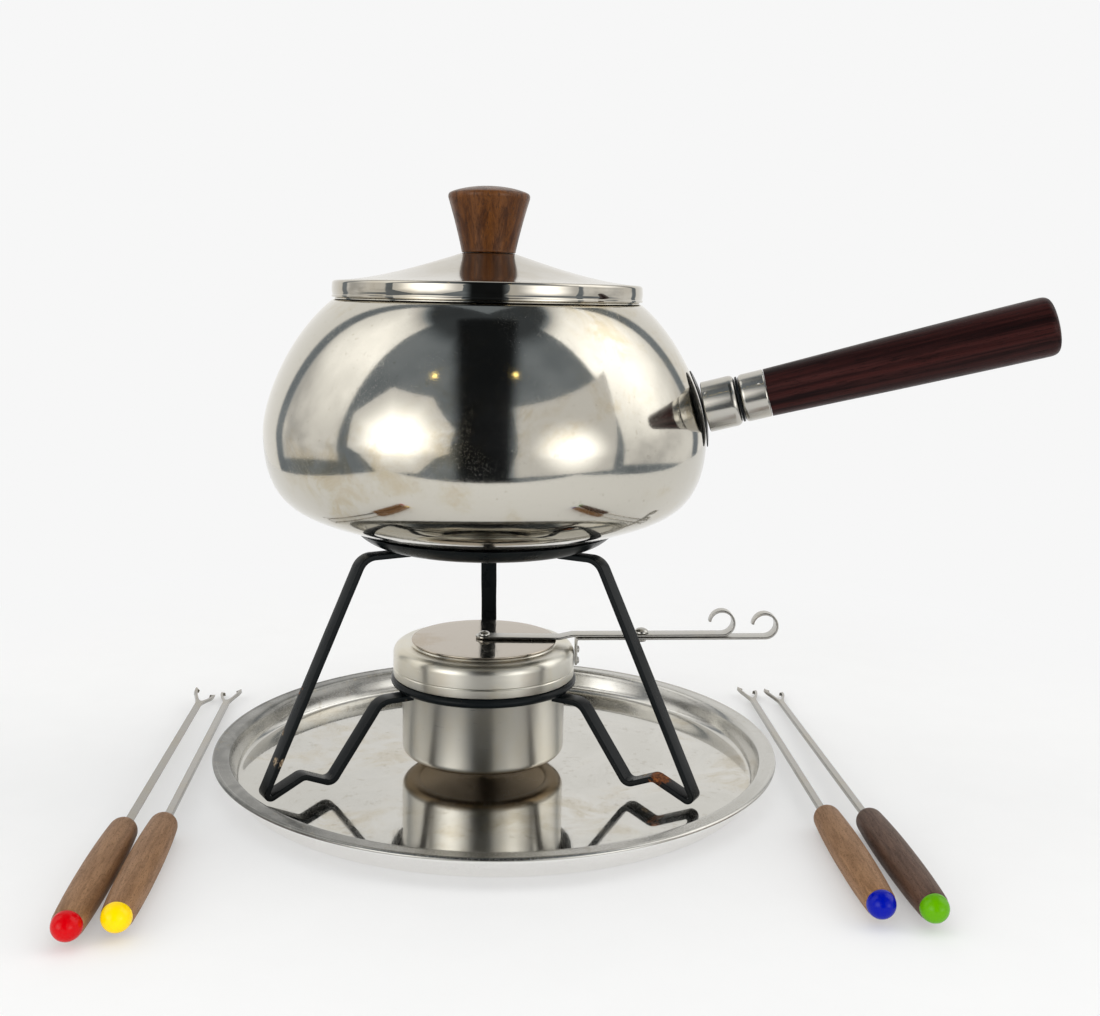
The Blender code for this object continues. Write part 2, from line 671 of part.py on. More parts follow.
def build_carry_arm(frame):
    """Fixed arm: a tab down the cap's side, a run out past the pivot and a finger curl."""
    mid = ARM_LOW_Z + ARM_THICK / 2.0
    wall_x = CAP_R + GAP + ARM_THICK / 2.0
    end_x = CARRY_CURL_X - CURL_R
    rise = arm_height(end_x)
    corners = [(wall_x, ARM_LOW_Z - TAB_DROP), (wall_x, mid), (end_x - 0.5, mid + rise)]
    straight = filleted_path(corners, (1.2,), 4)
    path = straight + curl(CARRY_CURL_X, ARM_LOW_Z + rise)
    bm = bent_strip(path, ARM_THICK, curl_widths(len(straight), len(path)), edge_round=0.25)
    arm = add_object("carry_arm", bm, brushed_steel(), frame, sharp_deg=40.0)
    drill(arm, PIVOT_X, 0.0, 1.6, ARM_LOW_Z - 2.0, ARM_LOW_Z + 4.0)
    return arm


def tab_rivet(name, frame, z):
    """Small rivet through the tab; its domed head is outside."""
    inner_x = CAP_R - CAP_SHEET
    outer_x = CAP_R + GAP + ARM_THICK
    outline = [(0, outer_x + GAP), (1.7, outer_x + GAP), (1.6, outer_x + 0.7), (0.9, outer_x + 1.1),
               (0, outer_x + 1.2)]
    bm = along_x(turned(outline, FINE_STEPS))
    bm.transform(Matrix.Translation((0, 0, z)))
    return add_object(name, bm, brushed_steel(), frame, origin=(inner_x, 0.0, z))


def build_snuffer_arm(frame):
    """Swinging arm: rounded end over the snuffer disc, a small joggle up, then a finger curl."""
    low_mid = DISC_Z + DISC_SHEET + GAP + ARM_THICK / 2.0
    high_mid = ARM_LOW_Z + ARM_THICK + GAP + ARM_THICK / 2.0
    end_x = SNUFFER_CURL_X - CURL_R
    rise = arm_height(end_x)
    joggle_x = CAP_R - 1.0
    corners = [(0.0, low_mid), (joggle_x - 6.0, low_mid), (joggle_x, high_mid),
               (end_x - 0.5, high_mid + rise)]
    straight = filleted_path(corners, (4.0, 4.0), 2)
    tip = []
    tip_widths = []
    for i in range(1, 6):
        a = math.radians(90.0 - 15.0 * i)
        tip.insert(0, Vector((-ARM_WIDTH / 2.0 * math.cos(a), low_mid)))
        tip_widths.insert(0, ARM_WIDTH * math.sin(a))
    path = tip + straight + curl(SNUFFER_CURL_X, high_mid + rise - ARM_THICK / 2.0)
    flat_count = len(straight)
    widths = tip_widths + curl_widths(flat_count, len(path) - len(tip))
    bm = bent_strip(path, ARM_THICK, widths, edge_round=0.25)
    arm = add_object("snuffer_arm", bm, brushed_steel(), frame, sharp_deg=40.0)
    drill(arm, 0.0, 0.0, 1.5, low_mid - 3.0, low_mid + 3.0)
    drill(arm, PIVOT_X, 0.0, 1.6, high_mid - 3.0, high_mid + 4.0)
    return arm


def build_snuffer_disc(frame):
    low = DISC_Z
    high = DISC_Z + DISC_SHEET
    hole = 1.5
    outline = [(hole, low), (DISC_R - 0.2, low), (DISC_R, low + 0.2), (DISC_R, high - 0.2),
               (DISC_R - 0.2, high), (hole, high)]
    return add_object("snuffer_disc", turned(outline, MEDIUM_STEPS), polished_steel(), frame)


def build_burner(frame):
    build_burner_cup(frame)
    build_wadding(frame)
    build_gauze(frame)
    build_burner_cap(frame)
    build_carry_arm(frame)
    for index, z in enumerate((51.6, 57.0)):
        tab_rivet("carry_arm_rivet_%d" % (index + 1), frame, z)


def build_snuffer(frame):
    """The swinging pieces hang on an empty that stands on the pivot rivet's axis."""
    pivot = empty("snuffer_pivot", (PIVOT_X, 0.0, 0.0), parent=frame)
    local = empty("snuffer_frame", (-PIVOT_X, 0.0, 0.0), parent=pivot)
    build_snuffer_arm(local)
    build_snuffer_disc(local)
    arm_top = DISC_Z + DISC_SHEET + GAP + ARM_THICK
    rivet("snuffer_disc_rivet", local, brushed_steel(), 0.0,
          (DISC_Z, DISC_Z + DISC_SHEET, arm_top + GAP, arm_top + 2.0), 1.2, 2.8, 1.2)
    pair_low = ARM_LOW_Z + arm_height(PIVOT_X - 4.0)
    pair_top = ARM_LOW_Z + arm_height(PIVOT_X + 4.0) + 2 * ARM_THICK + GAP
    rivet("arm_pivot_rivet", local, brushed_steel(), PIVOT_X,
          (pair_low - GAP - 1.1, pair_low - GAP, pair_top + GAP, pair_top + 2.4), 1.5, 3.4, 2.4)


# ---------------------------------------------------------------- forks
def fork_frame(ball_x, ball_y, yaw, roll):
    """Empty at the ball's centre whose +X runs along the fork, which lies on the table.

    The belly of the handle and the lower tine touch down, so the fork dips toward its tines.
    """
    lean = math.radians(abs(roll))
    belly_z = FORK_BELLY_R + GAP
    tip_z = FORK_SPREAD * math.sin(lean) + FORK_BAR_THICK / 2.0 * math.cos(lean) + GAP + 0.4
    dip = math.asin((belly_z - tip_z) / (FORK_TIP - FORK_BELLY))
    ball_z = belly_z + FORK_BELLY * math.sin(dip)
    return (ball_x, ball_y, ball_z), (math.radians(roll), dip, math.radians(90.0 + yaw))


def build_fork_handle(colour, frame, mat):
    side = bezier((FORK_BUTT_R, FORK_BUTT + 1.0), (FORK_BUTT_R + 0.9, 16.0), (FORK_BELLY_R, 32.0),
                  (FORK_BELLY_R, FORK_BELLY), 3)
    side += bezier((FORK_BELLY_R, FORK_BELLY), (FORK_BELLY_R, 58.0), (FORK_NECK_R + 0.4, 72.0),
                   (FORK_NECK_R, FORK_NECK - 5.0), 2)[1:]
    nose = bezier((FORK_NECK_R, FORK_NECK - 5.0), (FORK_NECK_R - 0.1, FORK_NECK - 1.6),
                  (FORK_NECK_R - 2.0, FORK_NECK - 0.1), (FORK_BORE_R, FORK_NECK), 3)[1:]
    bore_end = FORK_BAR_START - 2.0
    plug_r = 3.0
    outline = [(plug_r, FORK_BUTT), (FORK_BUTT_R - 0.5, FORK_BUTT)] + side + nose
    outline += [(FORK_BORE_R, bore_end), (0, bore_end), (0, FORK_BUTT + 8.0), (plug_r, FORK_BUTT + 8.0)]
    return add_object("fork_%s_handle" % colour, along_x(turned(outline, FINE_STEPS)), mat, frame)


def build_fork_ball(colour, frame):
    """Coloured ball end: a dome with a short plug that enters the handle."""
    flat = FORK_BUTT - GAP
    start = math.degrees(math.asin(flat / FORK_BALL_R))
    dome = arc((0, 0), FORK_BALL_R, -90, start, 6)
    dome[0] = (0, -FORK_BALL_R)
    plug_r = 3.0 - GAP
    outline = dome + [(plug_r, flat), (plug_r, FORK_BUTT + 7.0), (0, FORK_BUTT + 7.0)]
    return add_object("fork_%s_ball" % colour, along_x(turned(outline, FINE_STEPS)), ball_plastic(colour), frame)


def fork_outline():
    """Plan of the bar and its two splayed, barbed tines; X along the fork."""
    half = FORK_BAR_WIDTH / 2.0
    tine = 1.35
    reach = FORK_TIP - FORK_CROTCH
    upper = [(FORK_BAR_START, half), (FORK_CROTCH - 3.0, half)]
    upper += [(FORK_CROTCH + 1.0, half + 0.9), (FORK_CROTCH + 0.62 * reach, FORK_SPREAD - 0.5),
              (FORK_TIP - 1.6, FORK_SPREAD + 0.25), (FORK_TIP, FORK_SPREAD - 0.2)]
    upper += [(FORK_TIP - 2.9, FORK_SPREAD - tine - 1.1), (FORK_TIP - 3.4, FORK_SPREAD - tine - 0.9),
              (FORK_TIP - 2.9, FORK_SPREAD - tine), (FORK_CROTCH + 0.62 * reach, FORK_SPREAD - tine - 0.6),
              (FORK_CROTCH + 3.6, 0.75), (FORK_CROTCH + 2.2, 0.0)]
    lower = [(x, -y) for x, y in reversed(upper[:-1])]
    return upper + lower


def build_fork_shaft(colour, frame):
    half = FORK_BAR_THICK / 2.0
    bm = slab(fork_outline(), -half, half)
    return add_object("fork_%s_shaft" % colour, bm, brushed_steel(), frame, sharp_deg=30.0)


def build_fork(colour, placing):
    location, rotation = fork_frame(*placing)
    frame = empty("fork_%s_frame" % colour, location, rotation)
    build_fork_handle(colour, frame, dark_teak() if colour == "green" else teak())
    build_fork_ball(colour, frame)
    build_fork_shaft(colour, frame)


# ---------------------------------------------------------------- whole object
def build():
    for obj in list(bpy.data.objects):
        bpy.data.objects.remove(obj)
    build_tray()
    stand = empty("stand_axis", (STAND_OFFSET_X, 0.0, 0.0))
    build_stand_dish(stand)
    for side, shape in LEGS.items():
        build_leg(stand, side, *shape)
    build_burner_ring(stand)
    build_pot_body(stand)
    build_handle(stand)
    build_lid_shell(stand)
    build_knob(stand)
    build_knob_fixing(stand)
    build_burner(stand)
    build_snuffer(stand)
    for colour, placing in FORKS.items():
        build_fork(colour, placing)


build()
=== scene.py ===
import math

import bmesh
import bpy
from mathutils import Matrix, Vector, noise


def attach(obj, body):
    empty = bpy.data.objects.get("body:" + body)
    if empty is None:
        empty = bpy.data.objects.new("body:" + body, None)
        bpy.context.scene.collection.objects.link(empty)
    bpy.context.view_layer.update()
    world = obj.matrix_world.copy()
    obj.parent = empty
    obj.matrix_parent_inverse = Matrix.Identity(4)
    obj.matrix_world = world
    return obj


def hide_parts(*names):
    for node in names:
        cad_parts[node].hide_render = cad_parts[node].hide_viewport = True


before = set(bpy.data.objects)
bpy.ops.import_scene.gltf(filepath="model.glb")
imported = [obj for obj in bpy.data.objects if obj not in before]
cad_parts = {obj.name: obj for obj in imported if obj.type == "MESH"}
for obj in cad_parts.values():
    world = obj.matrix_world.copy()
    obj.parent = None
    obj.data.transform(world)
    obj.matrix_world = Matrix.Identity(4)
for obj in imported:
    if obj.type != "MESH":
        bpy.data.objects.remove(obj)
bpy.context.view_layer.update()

MM = 0.001
GAP = 0.3
STAND_X = -6.5                # the stand's axis, left of the tray's centre, mm

# ---- tray ----
TRAY_SHEET = 1.0
TRAY_WELL_R = 120.4
TRAY_CREST_R = 124.8
TRAY_FLANGE_R = 129.3
TRAY_FLANGE_Z = 12.2
TRAY_BEAD_R = 1.2

# ---- stand ----
DISH_TOP = (59.5, 114.9)
DISH_BOTTOM = (46.0, 107.9)
DISH_HOLE_R = 36.0
DISH_SHEET = 1.3
# side: (azimuth, extra radius of the top bend, extra radius of the inner bends)
LEGS = {
    "back": (89.3, 0.0, 0.0),
    "left": (210.0, 0.8, 1.3),
    "right": (330.0, -1.6, 0.0),
}
LEG_TOP_IN_R = 40.0
LEG_TOP_BEND_R = 60.9
LEG_FOOT_R = 110.0
LEG_HUMP = (89.5, 11.6)
LEG_DIP = (76.5, 6.0)
LEG_RING_BEND_R = 52.5
LEG_RING_R = 38.5
LEG_WIDTH = 8.0
LEG_THICK = 2.5
RING_R = 41.5
RING_BAR_R = 2.0
RING_Z = 43.2

# ---- pot ----
POT_R = 100.0
POT_WIDE_Z = 159.0
POT_SHOULDER = (69.2, 217.8)
POT_NECK_R = 67.7
POT_LIP_Z = 224.6
POT_FOOT = (66.0, 117.6)
POT_BASE_R = 43.0
POT_BASE_Z = 109.6
POT_FLOOR_Z = 112.6
POT_WALL = 1.2

# ---- handle, measured out along its own axis ----
HANDLE_ROOT_AZIMUTH = -14.0
HANDLE_AZIMUTH = -11.5
HANDLE_ELEVATION = 15.3
HANDLE_ROOT_R = 97.9
HANDLE_ROOT_Z = 173.8
GUARD_R = 17.2
GUARD_HALF_WIDTH = 7.4
GUARD_THICK = 0.5
GUARD_START = 0.6
GUARD_ACROSS_R = 98.0
GUARD_UPRIGHT_R = 62.0
ROD_BORE_R = 2.3
FERRULE_IN_R = 11.2
FERRULE_IN_SPAN = (1.6, 16.2)
SPACER_R = 10.0
FERRULE_OUT_R = 10.5
FERRULE_OUT_SPAN = (17.7, 29.0)
GRIP_SPAN = (29.3, 150.3)
GRIP_START_R = 10.45
GRIP_MID_R = 11.6
GRIP_END_R = 12.5
ROD_R = 2.0
ROD_SPAN = (0.4, 88.0)
ROD_BORE_END = 90.0

# ---- lid ----
LID_SKIRT_R = 69.5
LID_SKIRT_Z = 218.8
LID_EDGE_Z = 226.3
LID_SHEET = 0.9
LID_TOP = (12.4, 239.2)
LID_CONE_R = 66.6
LID_BORE_R = 2.3
KNOB_BASE_Z = 239.5
KNOB_BASE_R = 12.1
KNOB_FLARE = (18.1, 263.2)
KNOB_TOP_Z = 268.6
KNOB_BORE = (2.2, 254.5)
WASHER_R = 6.5
WASHER_SPAN = (237.2, 238.0)
SCREW_HEAD_R = 4.2
SCREW_HEAD_Z = 236.6
SCREW_R = 1.9
SCREW_TIP_Z = 254.1

# ---- burner ----
CUP_R = 38.1
CUP_BASE_Z = 7.6
CUP_CORNER = 4.0
CUP_FLANGE_R = 41.0
CUP_FLANGE_Z = 45.5
SHEET = 0.8
CAP_R = 42.4
CAP_SKIRT_Z = 45.5
CAP_TOP_Z = 60.0
CAP_SHOULDER = 4.2
CAP_MOUTH_R = 31.0
CAP_LIP_Z = 60.9
CAP_SEAM_Z = 49.6
WADDING_R = 36.8
WADDING_SPAN = (9.8, 38.0)
GAUZE_Z = 42.0

# ---- snuffer and carrying arms ----
DISC_R = 34.0
DISC_Z = 61.2
ARM_WIDTH = 8.0
ARM_THICK = 1.1
ARM_LOW_Z = 62.3
ARM_RISE = 1.4
PIVOT_X = 74.0
CURL_R = 6.2
CURL_TIP_WIDTH = 3.6
SNUFFER_CURL_X = 118.0
CARRY_CURL_X = 138.4
TAB_DROP = 12.0

# ---- forks ----
FORK_BALL_R = 5.4
FORK_BUTT = 0.6
FORK_BUTT_R = 5.7
FORK_BELLY = 44.0
FORK_BELLY_R = 6.7
FORK_NECK = 84.0
FORK_NECK_R = 5.8
FORK_BAR_START = 62.0
FORK_BAR_WIDTH = 3.4
FORK_BAR_THICK = 1.8
FORK_CROTCH = 249.0
FORK_TIP = 268.5
FORK_SPREAD = 5.4
FORK_BORE_R = 2.25
# colour: (ball x, ball y, yaw toward -X, roll of the tines)
FORKS = {
    "red": (-143.9, -174.0, 3.4, 25.0),
    "yellow": (-128.9, -168.3, 3.8, -8.0),
    "blue": (139.6, -157.1, -0.3, 10.0),
    "green": (158.0, -160.0, 0.5, 10.0),
}


# ---------------------------------------------------------------- outlines
def arc(centre, radius, start_deg, end_deg, count):
    points = []
    for i in range(count + 1):
        a = math.radians(start_deg + (end_deg - start_deg) * i / count)
        points.append((centre[0] + radius * math.cos(a), centre[1] + radius * math.sin(a)))
    return points


def bezier(p0, p1, p2, p3, count):
    points = []
    for i in range(count + 1):
        t = i / count
        s = 1.0 - t
        weights = (s ** 3, 3 * s * s * t, 3 * s * t * t, t ** 3)
        points.append(tuple(sum(w * p[k] for w, p in zip(weights, (p0, p1, p2, p3))) for k in (0, 1)))
    return points


def offset_inward(points, distance):
    shifted = []
    last = len(points) - 1
    for i, point in enumerate(points):
        before = points[max(i - 1, 0)]
        after = points[min(i + 1, last)]
        dx = after[0] - before[0]
        dz = after[1] - before[1]
        length = math.hypot(dx, dz)
        shifted.append((point[0] + distance * dz / length, point[1] - distance * dx / length))
    return shifted


def eased(corners, count=4):
    """Closed outline whose (a, b, radius) corners are rounded."""
    points = []
    total = len(corners)
    for i, (x, z, radius) in enumerate(corners):
        here = Vector((x, z))
        back = Vector(corners[i - 1][:2]) - here
        ahead = Vector(corners[(i + 1) % total][:2]) - here
        room = min(back.length, ahead.length) * 0.49
        if radius <= 0 or room < 1e-6:
            points.append((x, z))
            continue
        half = back.angle(ahead) / 2.0
        if half > math.radians(88):
            points.append((x, z))
            continue
        reach = min(radius / math.tan(half), room)
        start = here + back.normalized() * reach
        end = here + ahead.normalized() * reach
        for k in range(count + 1):
            t = k / count
            p = start * (1 - t) ** 2 + here * 2 * t * (1 - t) + end * t * t
            points.append((p.x, p.y))
    return points


# ---------------------------------------------------------------- meshes
def to_object(name, verts, faces, place=None, sharp_deg=32.0):
    mesh = bpy.data.meshes.new(name)
    mesh.from_pydata([tuple(c * MM for c in v) for v in verts], [], faces)
    bm = bmesh.new()
    bm.from_mesh(mesh)
    bmesh.ops.remove_doubles(bm, verts=bm.verts, dist=1e-7)
    bmesh.ops.dissolve_degenerate(bm, dist=1e-8, edges=bm.edges)
    bmesh.ops.recalc_face_normals(bm, faces=bm.faces)
    bm.to_mesh(mesh)
    bm.free()
    mesh.shade_smooth()
    mesh.set_sharp_from_angle(angle=math.radians(sharp_deg))
    obj = bpy.data.objects.new(name, mesh)
    bpy.context.scene.collection.objects.link(obj)
    if place is not None:
        obj.matrix_world = place
    return obj


def turned(name, outline, steps, place=None, warp=None, sharp_deg=32.0):
    """Closed (radius, height) outline revolved about Z."""
    verts = []
    faces = []
    count = len(outline)
    for s in range(steps):
        a = math.tau * s / steps
        for r, z in outline:
            p = (r * math.cos(a), r * math.sin(a), z)
            verts.append(warp(p) if warp else p)
    for s in range(steps):
        here = s * count
        there = ((s + 1) % steps) * count
        for k in range(count):
            n = (k + 1) % count
            if outline[k][0] == 0 and outline[n][0] == 0:
                continue
            faces.append((here + k, here + n, there + n, there + k))
    return to_object(name, verts, faces, place, sharp_deg)


def strip(name, path, thickness, widths, place=None, edge=0.3, wobble=0.0, seed=0):
    """Flat strip along a path in the XZ plane, its width along Y, with rounded edges."""
    half = thickness / 2.0
    verts = []
    faces = []
    last = len(path) - 1
    for i, (point, width) in enumerate(zip(path, widths)):
        before = (path[i] - path[i - 1]).normalized() if i else None
        after = (path[i + 1] - path[i]).normalized() if i < last else None
        along = (before or Vector((0, 0))) + (after or Vector((0, 0)))
        along.normalize()
        stretch = 1.0 / max(along.dot(after), 0.5) if before and after else 1.0
        normal = Vector((-along.y, along.x)) * stretch
        w = width / 2.0 + wobble * noise.noise((point.x * 0.09, point.y * 0.09, seed))
        e = min(edge, w * 0.6)
        ring = eased([(-w, -half, e), (w, -half, e), (w, half, e), (-w, half, e)], 3)
        for y, across in ring:
            p = point + normal * across
            verts.append((p.x, y, p.y))
    rings = len(verts) // len(path)
    for i in range(last):
        for k in range(rings):
            n = (k + 1) % rings
            faces.append((i * rings + k, i * rings + n, (i + 1) * rings + n, (i + 1) * rings + k))
    faces.append(tuple(range(rings)))
    faces.append(tuple(last * rings + k for k in reversed(range(rings))))
    return to_object(name, verts, faces, place, 40.0)


def filleted_path(corners, radii, bend_steps, spacing):
    """Rounded polyline with extra points along its straights."""
    path = [Vector(corners[0])]
    for i in range(1, len(corners) - 1):
        here = Vector(corners[i])
        back = (Vector(corners[i - 1]) - here).normalized()
        ahead = (Vector(corners[i + 1]) - here).normalized()
        half = back.angle(ahead) / 2.0
        reach = radii[i - 1] / math.tan(half)
        middle = here + (back + ahead).normalized() * (radii[i - 1] / math.sin(half))
        first = here + back * reach - middle
        turn = first.angle_signed(here + ahead * reach - middle)
        fill_to(path, middle + first, spacing)
        for k in range(bend_steps + 1):
            angle = -turn * k / bend_steps
            c = math.cos(angle)
            s = math.sin(angle)
            path.append(middle + Vector((c * first.x - s * first.y, s * first.x + c * first.y)))
    fill_to(path, Vector(corners[-1]), spacing)
    path.append(Vector(corners[-1]))
    return path


def fill_to(path, target, spacing):
    start = path[-1].copy()
    count = int((target - start).length / spacing)
    for k in range(1, count):
        path.append(start.lerp(target, k / count))


def cut(obj, cutters):
    """Subtract helper bodies, then delete them."""
    for cutter in cutters:
        boolean = obj.modifiers.new("cut", "BOOLEAN")
        boolean.operation = "DIFFERENCE"
        boolean.solver = "EXACT"
        boolean.object = cutter
    bpy.context.view_layer.update()
    graph = bpy.context.evaluated_depsgraph_get()
    mesh = bpy.data.meshes.new_from_object(obj.evaluated_get(graph), depsgraph=graph)
    obj.modifiers.clear()
    obj.data = mesh
    mesh.shade_smooth()
    mesh.set_sharp_from_angle(angle=math.radians(40))
    for cutter in cutters:
        bpy.data.objects.remove(cutter)


def shift(x, y=0.0, z=0.0):
    return Matrix.Translation((x * MM, y * MM, z * MM))


def quarter_turn():
    """Lays a piece that was turned about Z along +X."""
    return Matrix.Rotation(math.radians(90), 4, "Y")


STAND = shift(STAND_X)


# ---------------------------------------------------------------- material helper
class Value:
    """A node's output, which adds, subtracts and multiplies like a number."""

    def __init__(self, look, socket):
        self.look = look
        self.socket = socket

    def __mul__(self, other):
        return self.look.math("MULTIPLY", self, other)

    def __rmul__(self, other):
        return self.look.math("MULTIPLY", other, self)

    def __add__(self, other):
        return self.look.math("ADD", self, other)

    def __radd__(self, other):
        return self.look.math("ADD", other, self)

    def __sub__(self, other):
        return self.look.math("SUBTRACT", self, other)

    def __rsub__(self, other):
        return self.look.math("SUBTRACT", other, self)


class Look:
    """Builds one material's node tree."""

    def __init__(self, name, slot, metallic=0.0):
        self.mat = bpy.data.materials.new(name)
        self.mat["slot"] = slot
        self.mat.use_nodes = True
        self.tree = self.mat.node_tree
        self.shader = self.tree.nodes["Principled BSDF"]
        self.shader.inputs["Metallic"].default_value = metallic

    def put(self, socket, value):
        if isinstance(value, Value):
            self.tree.links.new(value.socket, socket)
        else:
            socket.default_value = value

    def node(self, kind, inputs, out=0, **settings):
        made = self.tree.nodes.new(kind)
        for key, value in settings.items():
            setattr(made, key, value)
        for key, value in inputs.items():
            self.put(made.inputs[key], value)
        return Value(self, made.outputs[out])

    def set(self, **values):
        for key, value in values.items():
            self.put(self.shader.inputs[key.replace("_", " ")], value)

    def place(self, scale=(1, 1, 1), turn=(0, 0, 0), move=(0, 0, 0)):
        coords = self.node("ShaderNodeTexCoord", {}, "Object")
        return self.node("ShaderNodeMapping", {"Vector": coords, "Scale": scale, "Rotation": turn,
                                               "Location": move})

    def noise(self, vector, scale, detail=3.0, rough=0.5, warp=0.0):
        return self.node("ShaderNodeTexNoise", {"Vector": vector, "Scale": scale, "Detail": detail,
                                                "Roughness": rough, "Distortion": warp})

    def math(self, operation, a, b=0.0, clamp=False):
        return self.node("ShaderNodeMath", {0: a, 1: b}, operation=operation, use_clamp=clamp)

    def reach(self, x, y):
        return self.math("SQRT", x * x + y * y)

    def stretched(self, vector, scale):
        return self.node("ShaderNodeMapping", {"Vector": vector, "Scale": scale})

    def span(self, value, low, high, to_low=0.0, to_high=1.0):
        return self.node("ShaderNodeMapRange", {"Value": value, "From Min": low, "From Max": high,
                                                "To Min": to_low, "To Max": to_high},
                         interpolation_type="SMOOTHSTEP")

    def mix(self, fac, a, b, blend="MIX"):
        def colour(c):
            return c if isinstance(c, Value) else (*c, 1.0)

        made = self.tree.nodes.new("ShaderNodeMix")
        made.data_type = "RGBA"
        made.blend_type = blend
        self.put(made.inputs[0], fac)
        self.put(made.inputs[6], colour(a))
        self.put(made.inputs[7], colour(b))
        return Value(self, made.outputs[2])

    def bump(self, height, strength, distance, normal=None):
        inputs = {"Height": height, "Strength": strength, "Distance": distance}
        if normal is not None:
            inputs["Normal"] = normal
        return self.node("ShaderNodeBump", inputs)

    def xyz(self, vector):
        made = self.tree.nodes.new("ShaderNodeSeparateXYZ")
        self.put(made.inputs[0], vector)
        return [Value(self, socket) for socket in made.outputs]

    def join(self, x, y, z):
        return self.node("ShaderNodeCombineXYZ", {"X": x, "Y": y, "Z": z})

    def around(self, ratio, z_scale):
        """Coordinates that run round the Z axis: (turn, radius, height)."""
        x, y, z = self.xyz(self.place())
        turn = self.math("ARCTAN2", y, x)
        return self.join(turn * ratio, self.reach(x, y) * z_scale, z * z_scale)

    def near(self, point_mm, radius_mm, edge_mm):
        """1 inside a soft ball round a point, 0 outside."""
        away = self.node("ShaderNodeVectorMath",
                         {0: self.place(), 1: tuple(c * MM for c in point_mm)}, "Value",
                         operation="DISTANCE")
        return self.span(away, (radius_mm + edge_mm) * MM, (radius_mm - edge_mm) * MM)


def scratches(look, vector, count, scale, length, width):
    """Fine straight scratches in several directions, as a 0-1 mask."""
    total = None
    for i in range(count):
        turned_vector = look.node("ShaderNodeMapping", {
            "Vector": vector, "Scale": (1.0, length, 1.0),
            "Rotation": (0.4 * i, 0.7 * i, 0.5 + 2.4 * i), "Location": (0.13 * i, 0.31 * i, 0.0)})
        line = look.noise(turned_vector, scale, 1.0, 0.5)
        mask = look.span(line, 0.5 - width, 0.5, 0.0, 1.0)
        mask = mask * look.span(line, 0.5, 0.5 + width, 1.0, 0.0)
        total = mask if total is None else look.math("MAXIMUM", total, mask)
    return total


# ---------------------------------------------------------------- materials
def polished(name, tint, smudge, base_rough):
    """Mirror steel dulled by fine specks, with brown clouding and hairline scratches."""
    look = Look(name, "polished_steel", 1.0)
    vector = look.place()
    cloud = look.noise(vector, 24.0, 5.0, 0.6, 0.4)
    patch = look.noise(vector, 60.0, 4.0, 0.65, 0.6)
    fine = look.noise(vector, 420.0, 4.0, 0.7)
    grain = look.noise(vector, 3200.0, 2.0, 0.6)
    hair = scratches(look, vector, 4, 900.0, 0.03, 0.035)
    stain = look.span(cloud, 0.48, 0.66) * look.span(patch, 0.38, 0.62)
    colour = look.mix(stain * 0.75, tint, tuple(c * k for c, k in zip(tint, (0.84, 0.75, 0.58))))
    colour = look.mix(look.span(fine, 0.62, 0.72) * 0.30, colour, (0.30, 0.255, 0.18))
    look.set(Base_Color=colour)
    dull = look.span(grain, 0.60, 0.66) * look.span(patch, 0.34, 0.66, 0.25, 1.0)
    specks = look.span(fine, 0.56, 0.64) * look.span(patch, 0.48, 0.60)
    rough = base_rough + look.span(cloud, 0.42, 0.8) * smudge + dull * 0.20 + specks * 0.08
    look.set(Roughness=rough + hair * 0.08)
    wave = look.noise(vector, 9.0, 2.0, 0.4)
    normal = look.bump(wave, 0.05, 0.0012)
    look.set(Normal=look.bump(hair, 0.05, 0.00002, normal))
    return look.mat


def lid_steel():
    """Spun steel: fine turning lines on the cone over a soft polish, a mirror band round the edge."""
    look = Look("lid_steel", "polished_steel", 1.0)
    ring = look.around(1.2, 1.0)
    x, y = look.xyz(look.place())[:2]
    radius = look.reach(x, y)
    cone = look.span(radius, (LID_CONE_R + 1.0) * MM, (LID_CONE_R - 0.6) * MM)
    lines = look.noise(look.stretched(ring, (1.0, 1500.0, 1500.0)), 1.0, 3.0, 0.6)
    cloud = look.noise(look.place(), 34.0, 4.0, 0.6)
    look.set(Base_Color=look.mix(look.span(cloud, 0.42, 0.70, 0.0, 0.75), (0.495, 0.47, 0.42),
                                 (0.42, 0.375, 0.295)))
    rough = (0.08 + lines * 0.10) * look.span(cone, 0.0, 1.0, 0.25, 1.0)
    look.set(Roughness=rough + look.span(cloud, 0.5, 0.8, 0.0, 0.05))
    look.set(Normal=look.bump(lines * cone, 0.10, 0.00003))
    return look.mat


def brushed(name, tint, rough, spin_axis="Z", line_scale=900.0, golden=0.0, groove=0.22, spin=0.75,
            dark_below=None):
    """Steel brushed round its own axis, or along it for flat bars."""
    look = Look(name, "brushed_steel", 1.0)
    if spin_axis == "Z":
        vector = look.stretched(look.around(1.6, 1.0), (1.0, line_scale, line_scale))
    else:
        vector = look.place((6.0, line_scale, line_scale))
    lines = look.noise(vector, 1.0, 4.0, 0.65)
    cloud = look.noise(look.place(), 45.0, 4.0, 0.6, 0.5)
    warm = tuple(c * k for c, k in zip(tint, (1.02, 0.93, 0.74)))
    colour = look.mix(look.span(cloud, 0.42, 0.72, golden * 0.3, 0.25 + golden), tint, warm)
    if dark_below is not None:
        # the colour darkens to brown towards the bottom, darkest below dark_below
        height = look.xyz(look.place())[2]
        darker_towards_base = look.span(height, (dark_below + 2.5) * MM, dark_below * MM, 0.0, 0.85)
        colour = look.mix(darker_towards_base, colour, (0.26, 0.17, 0.075))
    look.set(Base_Color=colour)
    look.set(Roughness=rough * 0.75 + lines * (rough * 0.55))
    look.set(Normal=look.bump(lines, groove, 0.00004))
    if spin_axis == "Z":
        look.set(Anisotropic=spin, Anisotropic_Rotation=0.25)
        look.set(Tangent=look.node("ShaderNodeTangent", {}, direction_type="RADIAL", axis="Z"))
    return look.mat


